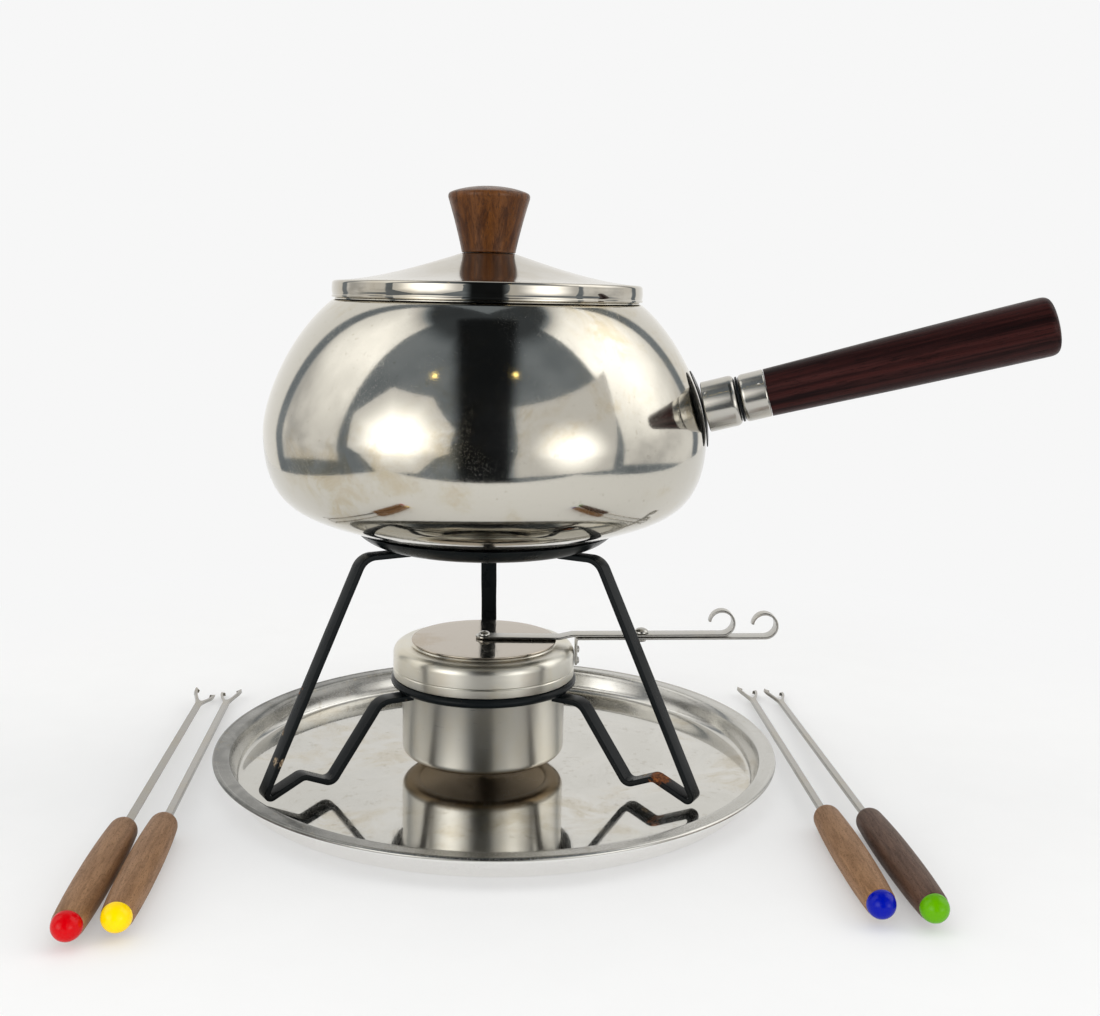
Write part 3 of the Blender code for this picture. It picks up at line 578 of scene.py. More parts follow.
def tray_steel():
    """Well worn tray: sharp mirror well with yellow-brown water marks, a satin flange; painted shade on the
    left side, a painted pale reflection on faces turned down.
    """
    look = Look("tray_steel", "tray_steel", 1.0)
    vector = look.place()
    x, y = look.xyz(vector)[:2]
    radius = look.reach(x, y)
    flange = look.span(radius, (TRAY_WELL_R + 0.8) * MM, (TRAY_CREST_R - 1.0) * MM)
    well = look.span(radius, (TRAY_WELL_R + 0.1) * MM, (TRAY_WELL_R - 1.4) * MM)
    big = look.noise(vector, 13.0, 6.0, 0.62, 1.2)
    mid = look.noise(vector, 48.0, 5.0, 0.65, 0.8)
    fine = look.noise(vector, 260.0, 3.0, 0.6)
    marks = look.span(big, 0.47, 0.62) * look.span(mid, 0.40, 0.60) * well
    specks = look.span(fine, 0.56, 0.68) * look.span(mid, 0.44, 0.60)
    hair = scratches(look, vector, 4, 500.0, 0.03, 0.02) * well
    short = scratches(look, vector, 3, 240.0, 0.12, 0.012) * look.span(mid, 0.52, 0.64) * well
    # painted shade: a patchy mask that grows towards the left (-X) side of the tray
    left_painted_shade = look.span(x, 0.0, -0.09) * look.span(mid, 0.25, 0.65, 0.6, 1.0)
    metal = look.mix(look.span(big, 0.35, 0.60), (0.56, 0.55, 0.515), (0.62, 0.61, 0.58))
    # painted shade: the metal turns darker towards the left (-X) side
    metal = look.mix(look.span(x, 0.02, -0.08) * 0.22, metal, (0.40, 0.395, 0.37))
    # the flange is a little darker all round, and the painted shade makes it much darker on the left
    metal = look.mix(flange * (0.20 + left_painted_shade * 0.80), metal, (0.15, 0.15, 0.142))
    colour = look.mix(marks * 0.5, metal, (0.47, 0.41, 0.295))
    colour = look.mix(specks * 0.30, colour, (0.30, 0.26, 0.19))
    colour = look.mix(short * 0.16, colour, (0.36, 0.32, 0.27))
    # painted reflection: faces turned downward get a near-white colour, standing in for the pale table they
    # mirror
    facing = look.xyz(look.node("ShaderNodeTexCoord", {}, "Normal"))[2]
    look.set(Base_Color=look.mix(look.span(facing, 0.0, -0.2), colour, (0.93, 0.92, 0.90)))
    grain = look.noise(vector, 3000.0, 2.0, 0.6)
    dull = look.span(grain, 0.57, 0.64) * look.span(mid, 0.34, 0.66, 0.3, 1.0)
    edge = look.span(radius, (TRAY_WELL_R - 2.4) * MM, (TRAY_WELL_R - 0.4) * MM)
    satin = edge * 0.13 + flange * 0.05
    look.set(Roughness=0.025 + marks * 0.05 + dull * 0.30 + hair * 0.05 + satin)
    lines = look.noise(look.stretched(look.around(1.5, 1.0), (1.0, 900.0, 900.0)), 1.0, 3.0, 0.6)
    wave = look.noise(vector, 7.0, 2.0, 0.4)
    normal = look.bump(wave, 0.05, 0.001)
    normal = look.bump(lines * flange, 0.09, 0.00003, normal)
    look.set(Normal=look.bump(hair + short, 0.04, 0.00002, normal))
    return look.mat


def black_paint(name, rust_spots=()):
    """Satin black paint with edge chips; rust and cream primer show at the given spots."""
    look = Look(name, "black_paint")
    vector = look.place()
    grain = look.noise(vector, 900.0, 2.0, 0.5)
    broad = look.noise(vector, 60.0, 4.0, 0.6)
    chips = look.span(look.noise(vector, 420.0, 3.0, 0.7, 0.6), 0.70, 0.73)
    colour = look.mix(broad, (0.002, 0.003, 0.0035), (0.007, 0.009, 0.010))
    rough = look.span(broad, 0.3, 0.7, 0.24, 0.36)
    height = grain * 0.3
    colour = look.mix(chips * 0.35, colour, (0.16, 0.13, 0.10))
    for point, radius, kind in rust_spots:
        rot = look.noise(vector, 330.0, 5.0, 0.75, 1.0)
        ball = look.near(point, radius, radius * 0.9)
        mask = look.span(ball + rot * 1.5, 1.28, 1.42)
        tone = look.span(look.noise(vector, 800.0, 3.0, 0.7), 0.35, 0.65)
        if kind == "rust":
            patch = look.mix(tone, (0.060, 0.018, 0.007), (0.30, 0.10, 0.028))
        else:
            patch = look.mix(tone, (0.10, 0.065, 0.040), (0.42, 0.33, 0.22))
        colour = look.mix(mask, colour, patch)
        rough = look.math("ADD", rough, mask * 0.4, True)
        height = height - mask * 0.8
    look.set(Base_Color=colour, Roughness=rough, Normal=look.bump(height, 0.35, 0.00006))
    look.set(Specular_IOR_Level=0.11)
    return look.mat


def wood(name, dark, light, vein, stretch, ring_scale, gloss, fleck, streak, seed, shine,
         pore_scale=1700.0, pore_stretch=0.09):
    """Straight-grained timber; the grain runs along the piece's own long axis, Z."""
    look = Look(name, name)
    plain = look.place((1, 1, 1), (0, math.radians(90), 0), (seed, seed * 0.37, seed * 0.71))
    long_vector = look.stretched(plain, (stretch, 1.0, 1.0))
    drift = look.noise(long_vector, 40.0, 3.0, 0.5, 0.4)
    bands = look.noise(look.stretched(plain, (stretch * 0.6, 1.0, 1.0)), ring_scale, 6.0, 0.68, 0.8)
    colour = look.mix(look.span(bands, 0.30, 0.68), dark, light)
    colour = look.mix(look.span(drift, 0.5, 0.7, 0.0, streak), colour, vein)
    pores = look.noise(look.stretched(plain, (pore_stretch, 1.0, 1.0)), pore_scale, 2.0, 0.6)
    pore_mask = look.span(pores, 0.56, 0.66)
    colour = look.mix(pore_mask * fleck, colour, tuple(c * 0.25 for c in dark))
    look.set(Base_Color=colour)
    rough = gloss + pore_mask * 0.18
    look.set(Roughness=rough + look.span(bands, 0.3, 0.7, 0.05, -0.04))
    look.set(Normal=look.bump(pore_mask * -1.0 + bands * 0.3, 0.35, 0.00009))
    look.set(Specular_IOR_Level=shine)
    return look.mat


def ball_plastic(name, colour):
    look = Look(name, name)
    vector = look.place()
    speck = look.noise(vector, 600.0, 4.0, 0.6)
    broad = look.noise(vector, 90.0, 2.0, 0.5)
    look.set(Base_Color=look.mix(look.span(broad, 0.3, 0.75, 0.0, 0.25), colour,
                                 tuple(c * 0.72 for c in colour)))
    hair = scratches(look, vector, 3, 900.0, 0.1, 0.03)
    look.set(Roughness=look.span(speck, 0.4, 0.8, 0.12, 0.30) + hair * 0.2)
    look.set(Normal=look.bump(speck, 0.06, 0.00005))
    look.set(Specular_IOR_Level=0.03, Coat_Weight=0.42, Coat_Roughness=0.02, Coat_IOR=1.40)
    return look.mat


def cotton():
    look = Look("cotton", "cotton")
    vector = look.place()
    fluff = look.noise(vector, 900.0, 6.0, 0.75, 1.5)
    clump = look.noise(vector, 160.0, 4.0, 0.6, 0.8)
    colour = look.mix(look.span(clump, 0.3, 0.7), (0.50, 0.44, 0.36), (0.80, 0.77, 0.71))
    look.set(Base_Color=look.mix(look.span(fluff, 0.5, 0.75, 0.0, 0.5), colour, (0.92, 0.90, 0.86)),
             Roughness=look.span(fluff, 0.3, 0.7, 0.85, 1.0), Normal=look.bump(fluff + clump, 0.8, 0.0006))
    return look.mat


# ---------------------------------------------------------------- piece bookkeeping
def dress(obj, mat, body):
    """Gives a mesh its material and slot and sets it on its body."""
    obj.data.materials.clear()
    obj.data.materials.append(mat)
    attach(obj, body)


def finish_piece(obj, mat, body, node):
    dress(obj, mat, body)
    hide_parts(node)


# ---------------------------------------------------------------- tray
def build_tray(mat):
    bead_centre = (TRAY_FLANGE_R + 0.7, TRAY_FLANGE_Z - 1.0)
    top = [(0, TRAY_SHEET), (40, TRAY_SHEET), (80, TRAY_SHEET), (TRAY_WELL_R - 2.4, TRAY_SHEET)]
    top += bezier((TRAY_WELL_R - 1.2, TRAY_SHEET), (TRAY_WELL_R + 2.0, TRAY_SHEET + 0.2),
                  (TRAY_CREST_R - 3.2, TRAY_FLANGE_Z - 0.1), (TRAY_CREST_R, TRAY_FLANGE_Z), 24)
    top += [(TRAY_CREST_R + 1.2, TRAY_FLANGE_Z + 0.02), (TRAY_FLANGE_R - 1.6, TRAY_FLANGE_Z - 0.06),
            (TRAY_FLANGE_R - 0.5, TRAY_FLANGE_Z - 0.04)]
    bead = arc(bead_centre, TRAY_BEAD_R, 128, -150, 22)
    under_z = TRAY_FLANGE_Z - TRAY_SHEET
    under = [(TRAY_FLANGE_R - 0.6, under_z)]
    under += bezier((TRAY_CREST_R + 0.4, under_z), (TRAY_CREST_R - 1.4, under_z),
                    (TRAY_WELL_R + 3.4, 1.0), (TRAY_WELL_R + 0.6, 0.15), 16)
    under += [(TRAY_WELL_R - 1.0, 0), (0, 0)]
    obj = turned("tray_sheet", top + bead + under, 240)
    finish_piece(obj, mat, "tray", "tray")


# ---------------------------------------------------------------- stand
def build_stand():
    paint = black_paint("black_paint_dish")
    wall = bezier(DISH_TOP, (DISH_TOP[0] - 3.0, DISH_TOP[1] - 4.4),
                  (DISH_BOTTOM[0] + 4.0, DISH_BOTTOM[1]), DISH_BOTTOM, 14)
    inner_wall = offset_inward(wall, DISH_SHEET)
    inner_wall[0] = (DISH_TOP[0] - 1.4, DISH_TOP[1])
    lip = [(DISH_TOP[0] - 0.1, DISH_TOP[1] - 0.25), (DISH_TOP[0] - 0.1, DISH_TOP[1] - 0.1),
           (DISH_TOP[0] - 0.35, DISH_TOP[1])]
    wall = list(reversed(lip)) + wall[1:]
    outline = wall + arc((DISH_HOLE_R + 0.4, DISH_BOTTOM[1] + 0.4), 0.4, -90, -180, 4)
    outline += arc((DISH_HOLE_R + 0.4, DISH_BOTTOM[1] + DISH_SHEET - 0.4), 0.4, 180, 90, 4)
    outline += list(reversed(inner_wall))
    finish_piece(turned("stand_dish_plate", outline, 160, STAND), paint, "stand", "stand_dish")

    half = LEG_THICK / 2.0
    top_z = DISH_BOTTOM[1] - GAP - half
    foot_z = TRAY_SHEET + GAP + half
    ring_z = RING_Z - RING_BAR_R - GAP - half
    rust = {
        "back": (),
        "left": (((101.0, 1.0, 19.0), 3.4, "chip"), ((87.0, -3.6, 47.0), 3.6, "rust"),
                 ((84.0, -3.8, 54.0), 2.6, "chip"), ((96.0, -3.8, 30.0), 3.0, "chip")),
        "right": (((92.0, 0.0, 12.5), 5.5, "rust"), ((84.0, 2.0, 9.0), 2.4, "chip")),
    }
    for side, (azimuth, top_extra, inner_extra) in LEGS.items():
        corners = [(LEG_TOP_IN_R, top_z), (LEG_TOP_BEND_R + top_extra, top_z), (LEG_FOOT_R, foot_z),
                   (LEG_HUMP[0] + inner_extra, LEG_HUMP[1]), (LEG_DIP[0] + inner_extra, LEG_DIP[1]),
                   (LEG_RING_BEND_R + inner_extra, ring_z), (LEG_RING_R, ring_z)]
        path = filleted_path(corners, (8.0, 1.9, 4.0, 4.0, 8.0), 12, 3.0)
        place = STAND @ Matrix.Rotation(math.radians(azimuth), 4, "Z")
        leg = strip("stand_leg_%s_strip" % side, path, LEG_THICK, [LEG_WIDTH] * len(path), place,
                    0.5, 0.12, azimuth)
        finish_piece(leg, black_paint("black_paint_" + side, rust[side]), "stand", "stand_leg_" + side)

    bar = arc((RING_R, RING_Z), RING_BAR_R, 0, 345, 23)
    finish_piece(turned("burner_ring_bar", bar, 144, STAND), paint, "stand", "burner_ring")


# ---------------------------------------------------------------- pot and handle
def build_pot(steel):
    neck = [(POT_NECK_R, POT_LIP_Z - 0.6), (POT_NECK_R, POT_LIP_Z - 3.0), (POT_NECK_R, POT_SHOULDER[1] + 1.0)]
    neck += [(POT_NECK_R + 0.2, POT_SHOULDER[1] + 0.5), (POT_NECK_R + 0.7, POT_SHOULDER[1] + 0.15)]
    upper = bezier(POT_SHOULDER, (88.0, 202.7), (POT_R, 174.0), (POT_R, POT_WIDE_Z), 40)
    lower = bezier((POT_R, POT_WIDE_Z), (POT_R, 125.5), (82.0, 123.6), POT_FOOT, 40)
    foot = bezier(POT_FOOT, (61.5, 116.2), (52.0, POT_BASE_Z + 4.4), (POT_BASE_R, POT_BASE_Z), 12)
    outer = neck + upper + lower[1:] + foot[1:]
    inner = [p for p in offset_inward(outer, POT_WALL) if p[1] > POT_FLOOR_Z + 2.0]
    inner = inner[:1] + inner[5::2]
    lip = arc((POT_NECK_R - POT_WALL / 2, POT_LIP_Z - POT_WALL / 2), POT_WALL / 2, 180, 0, 6)
    outline = lip + outer[1:] + [(0, POT_BASE_Z), (0, POT_FLOOR_Z), (POT_BASE_R, POT_FLOOR_Z)]
    outline += list(reversed(inner[1:]))
    finish_piece(turned("pot_wall", outline, 256, STAND), steel, "pot", "pot_body")


def handle_place():
    bearing = math.radians(HANDLE_ROOT_AZIMUTH)
    root = shift(HANDLE_ROOT_R * math.cos(bearing), HANDLE_ROOT_R * math.sin(bearing), HANDLE_ROOT_Z)
    lift = (Matrix.Rotation(math.radians(HANDLE_AZIMUTH), 4, "Z")
            @ Matrix.Rotation(-math.radians(HANDLE_ELEVATION), 4, "Y"))
    return STAND @ root @ lift @ quarter_turn()


def build_handle(brushed_mat, paint, grip_wood):
    place = handle_place()

    def dish(p):
        # the piece's own +Z runs out along the handle; its X points down the pot wall
        x, y, z = p
        reach = math.hypot(x, y)
        toward_rim = (reach - ROD_BORE_R) / (GUARD_R - ROD_BORE_R)
        y *= (ROD_BORE_R + toward_rim * (GUARD_HALF_WIDTH - ROD_BORE_R)) / reach
        return (x, y, z - y * y / (2 * GUARD_ACROSS_R) - x * x / (2 * GUARD_UPRIGHT_R))

    start = GUARD_START
    end = GUARD_START + GUARD_THICK
    rows = [ROD_BORE_R + (GUARD_R - 0.3 - ROD_BORE_R) * i / 12 for i in range(13)]
    plate = [(r, start) for r in rows] + arc((GUARD_R - 0.25, (start + end) / 2), 0.25, -90, 90, 6)
    plate += [(r, end) for r in reversed(rows)]
    finish_piece(turned("guard_plate", plate, 96, place, dish), paint, "pot", "handle_guard_plate")

    near, far = FERRULE_IN_SPAN
    inner = eased([(ROD_BORE_R, near, 0), (FERRULE_IN_R, near, 0.6), (FERRULE_IN_R, far, 2.9),
                   (ROD_BORE_R, far, 0)], 8)
    ferrule = turned("inner_ferrule", inner, 96, place)
    cut(ferrule, [punch_mark(place, -125.0, FERRULE_IN_R, near + 1.9)])
    finish_piece(ferrule, brushed_mat, "pot", "handle_ferrule_inner")
    near = FERRULE_IN_SPAN[1] + GAP
    far = FERRULE_OUT_SPAN[0] - GAP
    spacer = eased([(ROD_BORE_R, near, 0), (SPACER_R, near, 0.2), (SPACER_R, far, 0.2),
                    (ROD_BORE_R, far, 0)], 3)
    finish_piece(turned("ferrule_spacer", spacer, 72, place), paint, "pot", "handle_spacer")
    near, far = FERRULE_OUT_SPAN
    outer = eased([(ROD_BORE_R, near, 0), (FERRULE_OUT_R, near, 2.0), (FERRULE_OUT_R, far - 0.5, 0.15),
                   (FERRULE_OUT_R - 0.3, far, 0.1), (ROD_BORE_R, far, 0)], 8)
    ferrule = turned("outer_ferrule", outer, 96, place)
    cut(ferrule, [punch_mark(place, turn_deg, FERRULE_OUT_R, far - 2.6) for turn_deg in (-118.0, -86.0)])
    finish_piece(ferrule, brushed_mat, "pot", "handle_ferrule_outer")

    begin, stop = GRIP_SPAN
    middle = begin + 0.45 * (stop - begin)
    end_start = (GRIP_END_R, stop - 4.5)
    side = bezier((GRIP_START_R, begin), (GRIP_START_R + 0.45, begin + 25.0),
                  (GRIP_MID_R - 0.2, middle - 12.0), (GRIP_MID_R, middle), 16)
    side += bezier((GRIP_MID_R, middle), (GRIP_MID_R + 0.3, middle + 18.0),
                   (GRIP_END_R - 0.2, stop - 30.0), end_start, 16)[1:]
    side += bezier(end_start, (GRIP_END_R, stop - 1.2), (GRIP_END_R - 1.6, stop - 0.3),
                   (GRIP_END_R - 4.2, stop), 10)[1:]
    outline = [(ROD_BORE_R, begin)] + side
    outline += [(4.0, stop + 0.32), (0, stop + 0.4), (0, ROD_BORE_END), (ROD_BORE_R, ROD_BORE_END)]
    grip = turned("grip_wood", outline, 120, place)
    finish_piece(grip, grip_wood, "pot", "handle_grip")
    near, far = ROD_SPAN
    rod = eased([(0, near, 0), (ROD_R, near, 0.2), (ROD_R, far, 0.3), (0, far, 0)], 3)
    finish_piece(turned("handle_tang", rod, 32, place), brushed_mat, "pot", "handle_rod")


def punch_mark(place, turn_deg, surface_r, along):
    """Cutter for a small punch mark in a ferrule."""
    spot = Matrix.Rotation(math.radians(turn_deg), 4, "Z")
    lay = shift(surface_r - 0.5, 0, along) @ quarter_turn()
    outline = [(0, 0.05), (0.35, 0.05), (0.75, 0.45), (0.75, 1.2), (0, 1.2)]
    return turned("cutter", outline, 20, place @ spot @ lay)


# ---------------------------------------------------------------- lid
def build_lid(steel, knob_mat, brushed_mat):
    band = [(LID_SKIRT_R - 0.75, LID_SKIRT_Z), (LID_SKIRT_R - 0.25, LID_SKIRT_Z + 0.05),
            (LID_SKIRT_R, LID_SKIRT_Z + 0.35), (LID_SKIRT_R, LID_SKIRT_Z + 0.9),
            (LID_SKIRT_R - 0.28, LID_SKIRT_Z + 1.2), (LID_SKIRT_R - 0.3, LID_SKIRT_Z + 1.5)]
    band += bezier((LID_SKIRT_R - 0.22, LID_SKIRT_Z + 1.9), (LID_SKIRT_R, LID_SKIRT_Z + 3.0),
                   (LID_SKIRT_R, LID_SKIRT_Z + 4.0), (LID_SKIRT_R - 0.2, LID_EDGE_Z - 1.6), 8)
    band += arc((LID_SKIRT_R - 1.7, LID_EDGE_Z - 1.5), 1.5, 0, 90, 8)
    cone = bezier((LID_CONE_R, LID_EDGE_Z), (50.0, 227.2), (30.0, 233.4), LID_TOP, 40)
    cone[0] = (LID_CONE_R - 0.2, LID_EDGE_Z - 0.02)
    inner_cone = [(r, z - LID_SHEET) for r, z in cone[::-3]]
    inner = [(LID_BORE_R, LID_TOP[1] - LID_SHEET)] + inner_cone
    inner += arc((LID_SKIRT_R - 2.2, LID_EDGE_Z - 2.0), 1.3, 90, 0, 5)
    inner += [(LID_SKIRT_R - LID_SHEET, LID_EDGE_Z - 3.0), (LID_SKIRT_R - LID_SHEET, LID_SKIRT_Z + 0.2)]
    outline = band + cone + [(LID_BORE_R, LID_TOP[1])] + inner
    finish_piece(turned("lid_dome", outline, 256, STAND), steel, "lid", "lid_shell")

    flare_r, flare_z = KNOB_FLARE
    bore_r, bore_z = KNOB_BORE
    side = [(KNOB_BASE_R - 0.9, KNOB_BASE_Z), (KNOB_BASE_R - 0.3, KNOB_BASE_Z + 0.1),
            (KNOB_BASE_R, KNOB_BASE_Z + 0.5)]
    side += bezier((KNOB_BASE_R, KNOB_BASE_Z + 0.7), (KNOB_BASE_R + 1.4, KNOB_BASE_Z + 7.5),
                   (flare_r - 2.2, flare_z - 7.2), (flare_r, flare_z), 20)
    side += bezier((flare_r + 0.05, flare_z + 0.4), (flare_r + 0.2, flare_z + 1.6),
                   (flare_r - 0.2, flare_z + 2.2), (flare_r - 1.1, flare_z + 2.6), 6)
    top = bezier((flare_r - 1.5, flare_z + 2.8), (flare_r - 5.6, KNOB_TOP_Z - 1.1), (7.0, KNOB_TOP_Z),
                 (0, KNOB_TOP_Z), 14)
    outline = [(bore_r, KNOB_BASE_Z)] + side + top + [(0, bore_z), (bore_r, bore_z)]
    knob = turned("knob_wood_body", outline, 96, STAND)
    finish_piece(knob, knob_mat, "lid", "lid_knob")

    low, high = WASHER_SPAN
    washer = eased([(bore_r, low, 0.1), (WASHER_R, low, 0.2), (WASHER_R, high, 0.2), (bore_r, high, 0.1)], 3)
    finish_piece(turned("washer_disc", washer, 48, STAND), brushed_mat, "lid", "knob_washer")
    head = arc((0, SCREW_HEAD_Z), SCREW_HEAD_R, -90, 0, 10)
    head = [(r, SCREW_HEAD_Z + (z - SCREW_HEAD_Z) * 0.45) for r, z in head]
    seat_z = WASHER_SPAN[0] - GAP
    outline = head + [(SCREW_HEAD_R, seat_z), (SCREW_R, seat_z), (SCREW_R, SCREW_TIP_Z - 0.6),
                      (0, SCREW_TIP_Z)]
    screw = turned("screw_body", outline, 48, STAND)
    slot_cutter = box_cutter((STAND_X, 0.0, SCREW_HEAD_Z - 2.0), (9.0, 0.9, 1.6))
    cut(screw, [slot_cutter])
    finish_piece(screw, brushed_mat, "lid", "knob_screw")


def box_cutter(centre, size):
    cx, cy, cz = centre
    sx, sy, sz = (s / 2 for s in size)
    verts = [(cx + i * sx, cy + j * sy, cz + k * sz) for i in (-1, 1) for j in (-1, 1) for k in (-1, 1)]
    faces = [(0, 1, 3, 2), (4, 6, 7, 5), (0, 4, 5, 1), (2, 3, 7, 6), (0, 2, 6, 4), (1, 5, 7, 3)]
    return to_object("cutter", verts, faces)


# ---------------------------------------------------------------- burner
def build_burner(cup_steel, cap_steel, brushed_mat, cotton_mat):
    t = SHEET
    base = [(0, CUP_BASE_Z + 0.8), (CUP_R - 9.0, CUP_BASE_Z + 0.8), (CUP_R - 8.0, CUP_BASE_Z + 0.55),
            (CUP_R - 7.2, CUP_BASE_Z + 0.05)]
    corner = arc((CUP_R - CUP_CORNER, CUP_BASE_Z + CUP_CORNER), CUP_CORNER, -90, 0, 12)
    wall = [(CUP_R, CUP_FLANGE_Z - 1.0), (CUP_R + 0.25, CUP_FLANGE_Z - 0.3), (CUP_R + 1.0, CUP_FLANGE_Z)]
    flange = [(CUP_FLANGE_R - 0.3, CUP_FLANGE_Z), (CUP_FLANGE_R, CUP_FLANGE_Z + 0.4),
              (CUP_FLANGE_R - 0.3, CUP_FLANGE_Z + t), (CUP_R + 0.6, CUP_FLANGE_Z + t),
              (CUP_R - t, CUP_FLANGE_Z + t - 0.9)]
    inside = arc((CUP_R - CUP_CORNER, CUP_BASE_Z + CUP_CORNER), CUP_CORNER - t, 0, -90, 8)
    floor = [(CUP_R - 7.0, CUP_BASE_Z + t), (CUP_R - 7.8, CUP_BASE_Z + t + 0.8), (0, CUP_BASE_Z + t + 0.8)]
    outline = base + corner + wall + flange + inside + floor
    finish_piece(turned("cup_wall", outline, 160, STAND), cup_steel, "burner", "burner_cup")

    low, high = WADDING_SPAN
    outline = [(0, low), (WADDING_R - 5.0, low)] + arc((WADDING_R - 4.5, low + 4.5), 4.0, -70, 0, 6)
    outline += [(WADDING_R - 0.5, low + 8.0), (WADDING_R - 0.5, high - 6.0)]
    outline += arc((WADDING_R - 3.5, high - 3.6), 3.0, 0, 80, 6)
    outline += [(r, high - 0.7) for r in range(30, 2, -4)] + [(3.0, high - 0.7), (0, high - 0.7)]

    def fluff(p):
        x, y, z = p
        k = noise.noise((x * 0.16, y * 0.16, z * 0.16)) + 0.5 * noise.noise((x * 0.5, y * 0.5, z * 0.5))
        r = math.hypot(x, y)
        if r < 0.01 or z < low + 0.1:
            return p
        push = 0.4 * k
        return (x * (1 + push / r * 0.6), y * (1 + push / r * 0.6), z + min(push * 1.2, 0.6) * (z > high - 2))

    wad = turned("wadding_pad", outline, 120, STAND, fluff, 70.0)
    finish_piece(wad, cotton_mat, "burner", "fuel_wadding")
    build_gauze(brushed_mat)

    shoulder_c = (CAP_R - CAP_SHOULDER, CAP_TOP_Z - CAP_SHOULDER)
    outer = [(CAP_R - 0.25, CAP_SKIRT_Z), (CAP_R - 0.05, CAP_SKIRT_Z + 0.2), (CAP_R, CAP_SKIRT_Z + 0.5),
             (CAP_R, CAP_SEAM_Z - 0.5), (CAP_R - 0.22, CAP_SEAM_Z - 0.25), (CAP_R - 0.3, CAP_SEAM_Z),
             (CAP_R - 0.22, CAP_SEAM_Z + 0.25), (CAP_R, CAP_SEAM_Z + 0.5)]
    outer += arc(shoulder_c, CAP_SHOULDER, 0, 90, 16)
    lip = CAP_MOUTH_R + 2.2
    outer += [(lip + 1.6, CAP_TOP_Z)]
    outer += bezier((lip + 0.9, CAP_TOP_Z + 0.02), (lip + 0.4, CAP_TOP_Z + 0.1),
                    (lip + 0.4, CAP_LIP_Z - 0.1), (lip - 0.2, CAP_LIP_Z), 6)
    outer += bezier((CAP_MOUTH_R + 0.5, CAP_LIP_Z), (CAP_MOUTH_R, CAP_LIP_Z), (CAP_MOUTH_R, CAP_LIP_Z - 0.2),
                    (CAP_MOUTH_R, CAP_LIP_Z - 0.6), 4)
    inner = [(CAP_MOUTH_R, CAP_TOP_Z - t), (lip + 0.6, CAP_TOP_Z - t)]
    inner += arc(shoulder_c, CAP_SHOULDER - t, 90, 0, 8)
    inner += [(CAP_R - t, CAP_SKIRT_Z + 0.1)]
    finish_piece(turned("cap_shell", outer + inner, 200, STAND), cap_steel, "burner_top", "burner_cap")


def build_gauze(mat):
    """Woven wire disc: two sets of waved wires inside a rolled edge."""
    verts = []
    faces = []
    pitch = 2.4
    wire = 0.16
    sides = 5
    mid_z = GAUZE_Z + 0.35
    reach = WADDING_R - 0.5
    lanes = int(reach / pitch)
    for across in (0, 1):
        for lane in range(-lanes, lanes + 1):
            offset = lane * pitch
            half = math.sqrt(max(reach ** 2 - offset ** 2, 0.0))
            count = max(int(half * 2 / (pitch / 4)), 2)
            start = len(verts)
            for i in range(count + 1):
                along = -half + 2 * half * i / count
                sign = 1 if (lane + across) % 2 else -1
                z = mid_z + sign * 0.17 * math.cos(math.pi * along / pitch)
                for k in range(sides):
                    a = math.tau * k / sides
                    side = offset + wire * math.cos(a)
                    up = z + wire * math.sin(a)
                    verts.append((along, side, up) if across == 0 else (side, along, up))
            for i in range(count):
                for k in range(sides):
                    n = (k + 1) % sides
                    a = start + i * sides
                    faces.append((a + k, a + n, a + sides + n, a + sides + k))
    gauze = to_object("gauze_wires", verts, faces, STAND, 60.0)
    rim = turned("gauze_rim", arc((reach, mid_z), 0.35, 0, 330, 11), 96, STAND)
    finish_piece(gauze, mat, "burner", "burner_gauze")
    dress(rim, mat, "burner")


def arm_height(x):
    return ARM_RISE * (x - CAP_R) / (CARRY_CURL_X - CAP_R)


def curl(x_out, z_under, count=36):
    r = CURL_R - ARM_THICK / 2.0
    centre = (x_out - CURL_R, z_under + CURL_R)
    return [Vector(p) for p in arc(centre, r, -90, 176, count)]


def curl_widths(straight_count, total):
    widths = [ARM_WIDTH] * straight_count
    curl_count = total - straight_count
    for i in range(curl_count):
        t = (i + 1) / curl_count
        widths.append(ARM_WIDTH + (CURL_TIP_WIDTH - ARM_WIDTH) * t ** 1.6)
    return widths


def hole_cutter(x, radius, low, high):
    return turned("cutter", [(0, low), (radius, low), (radius, high), (0, high)], 40, shift(STAND_X + x))


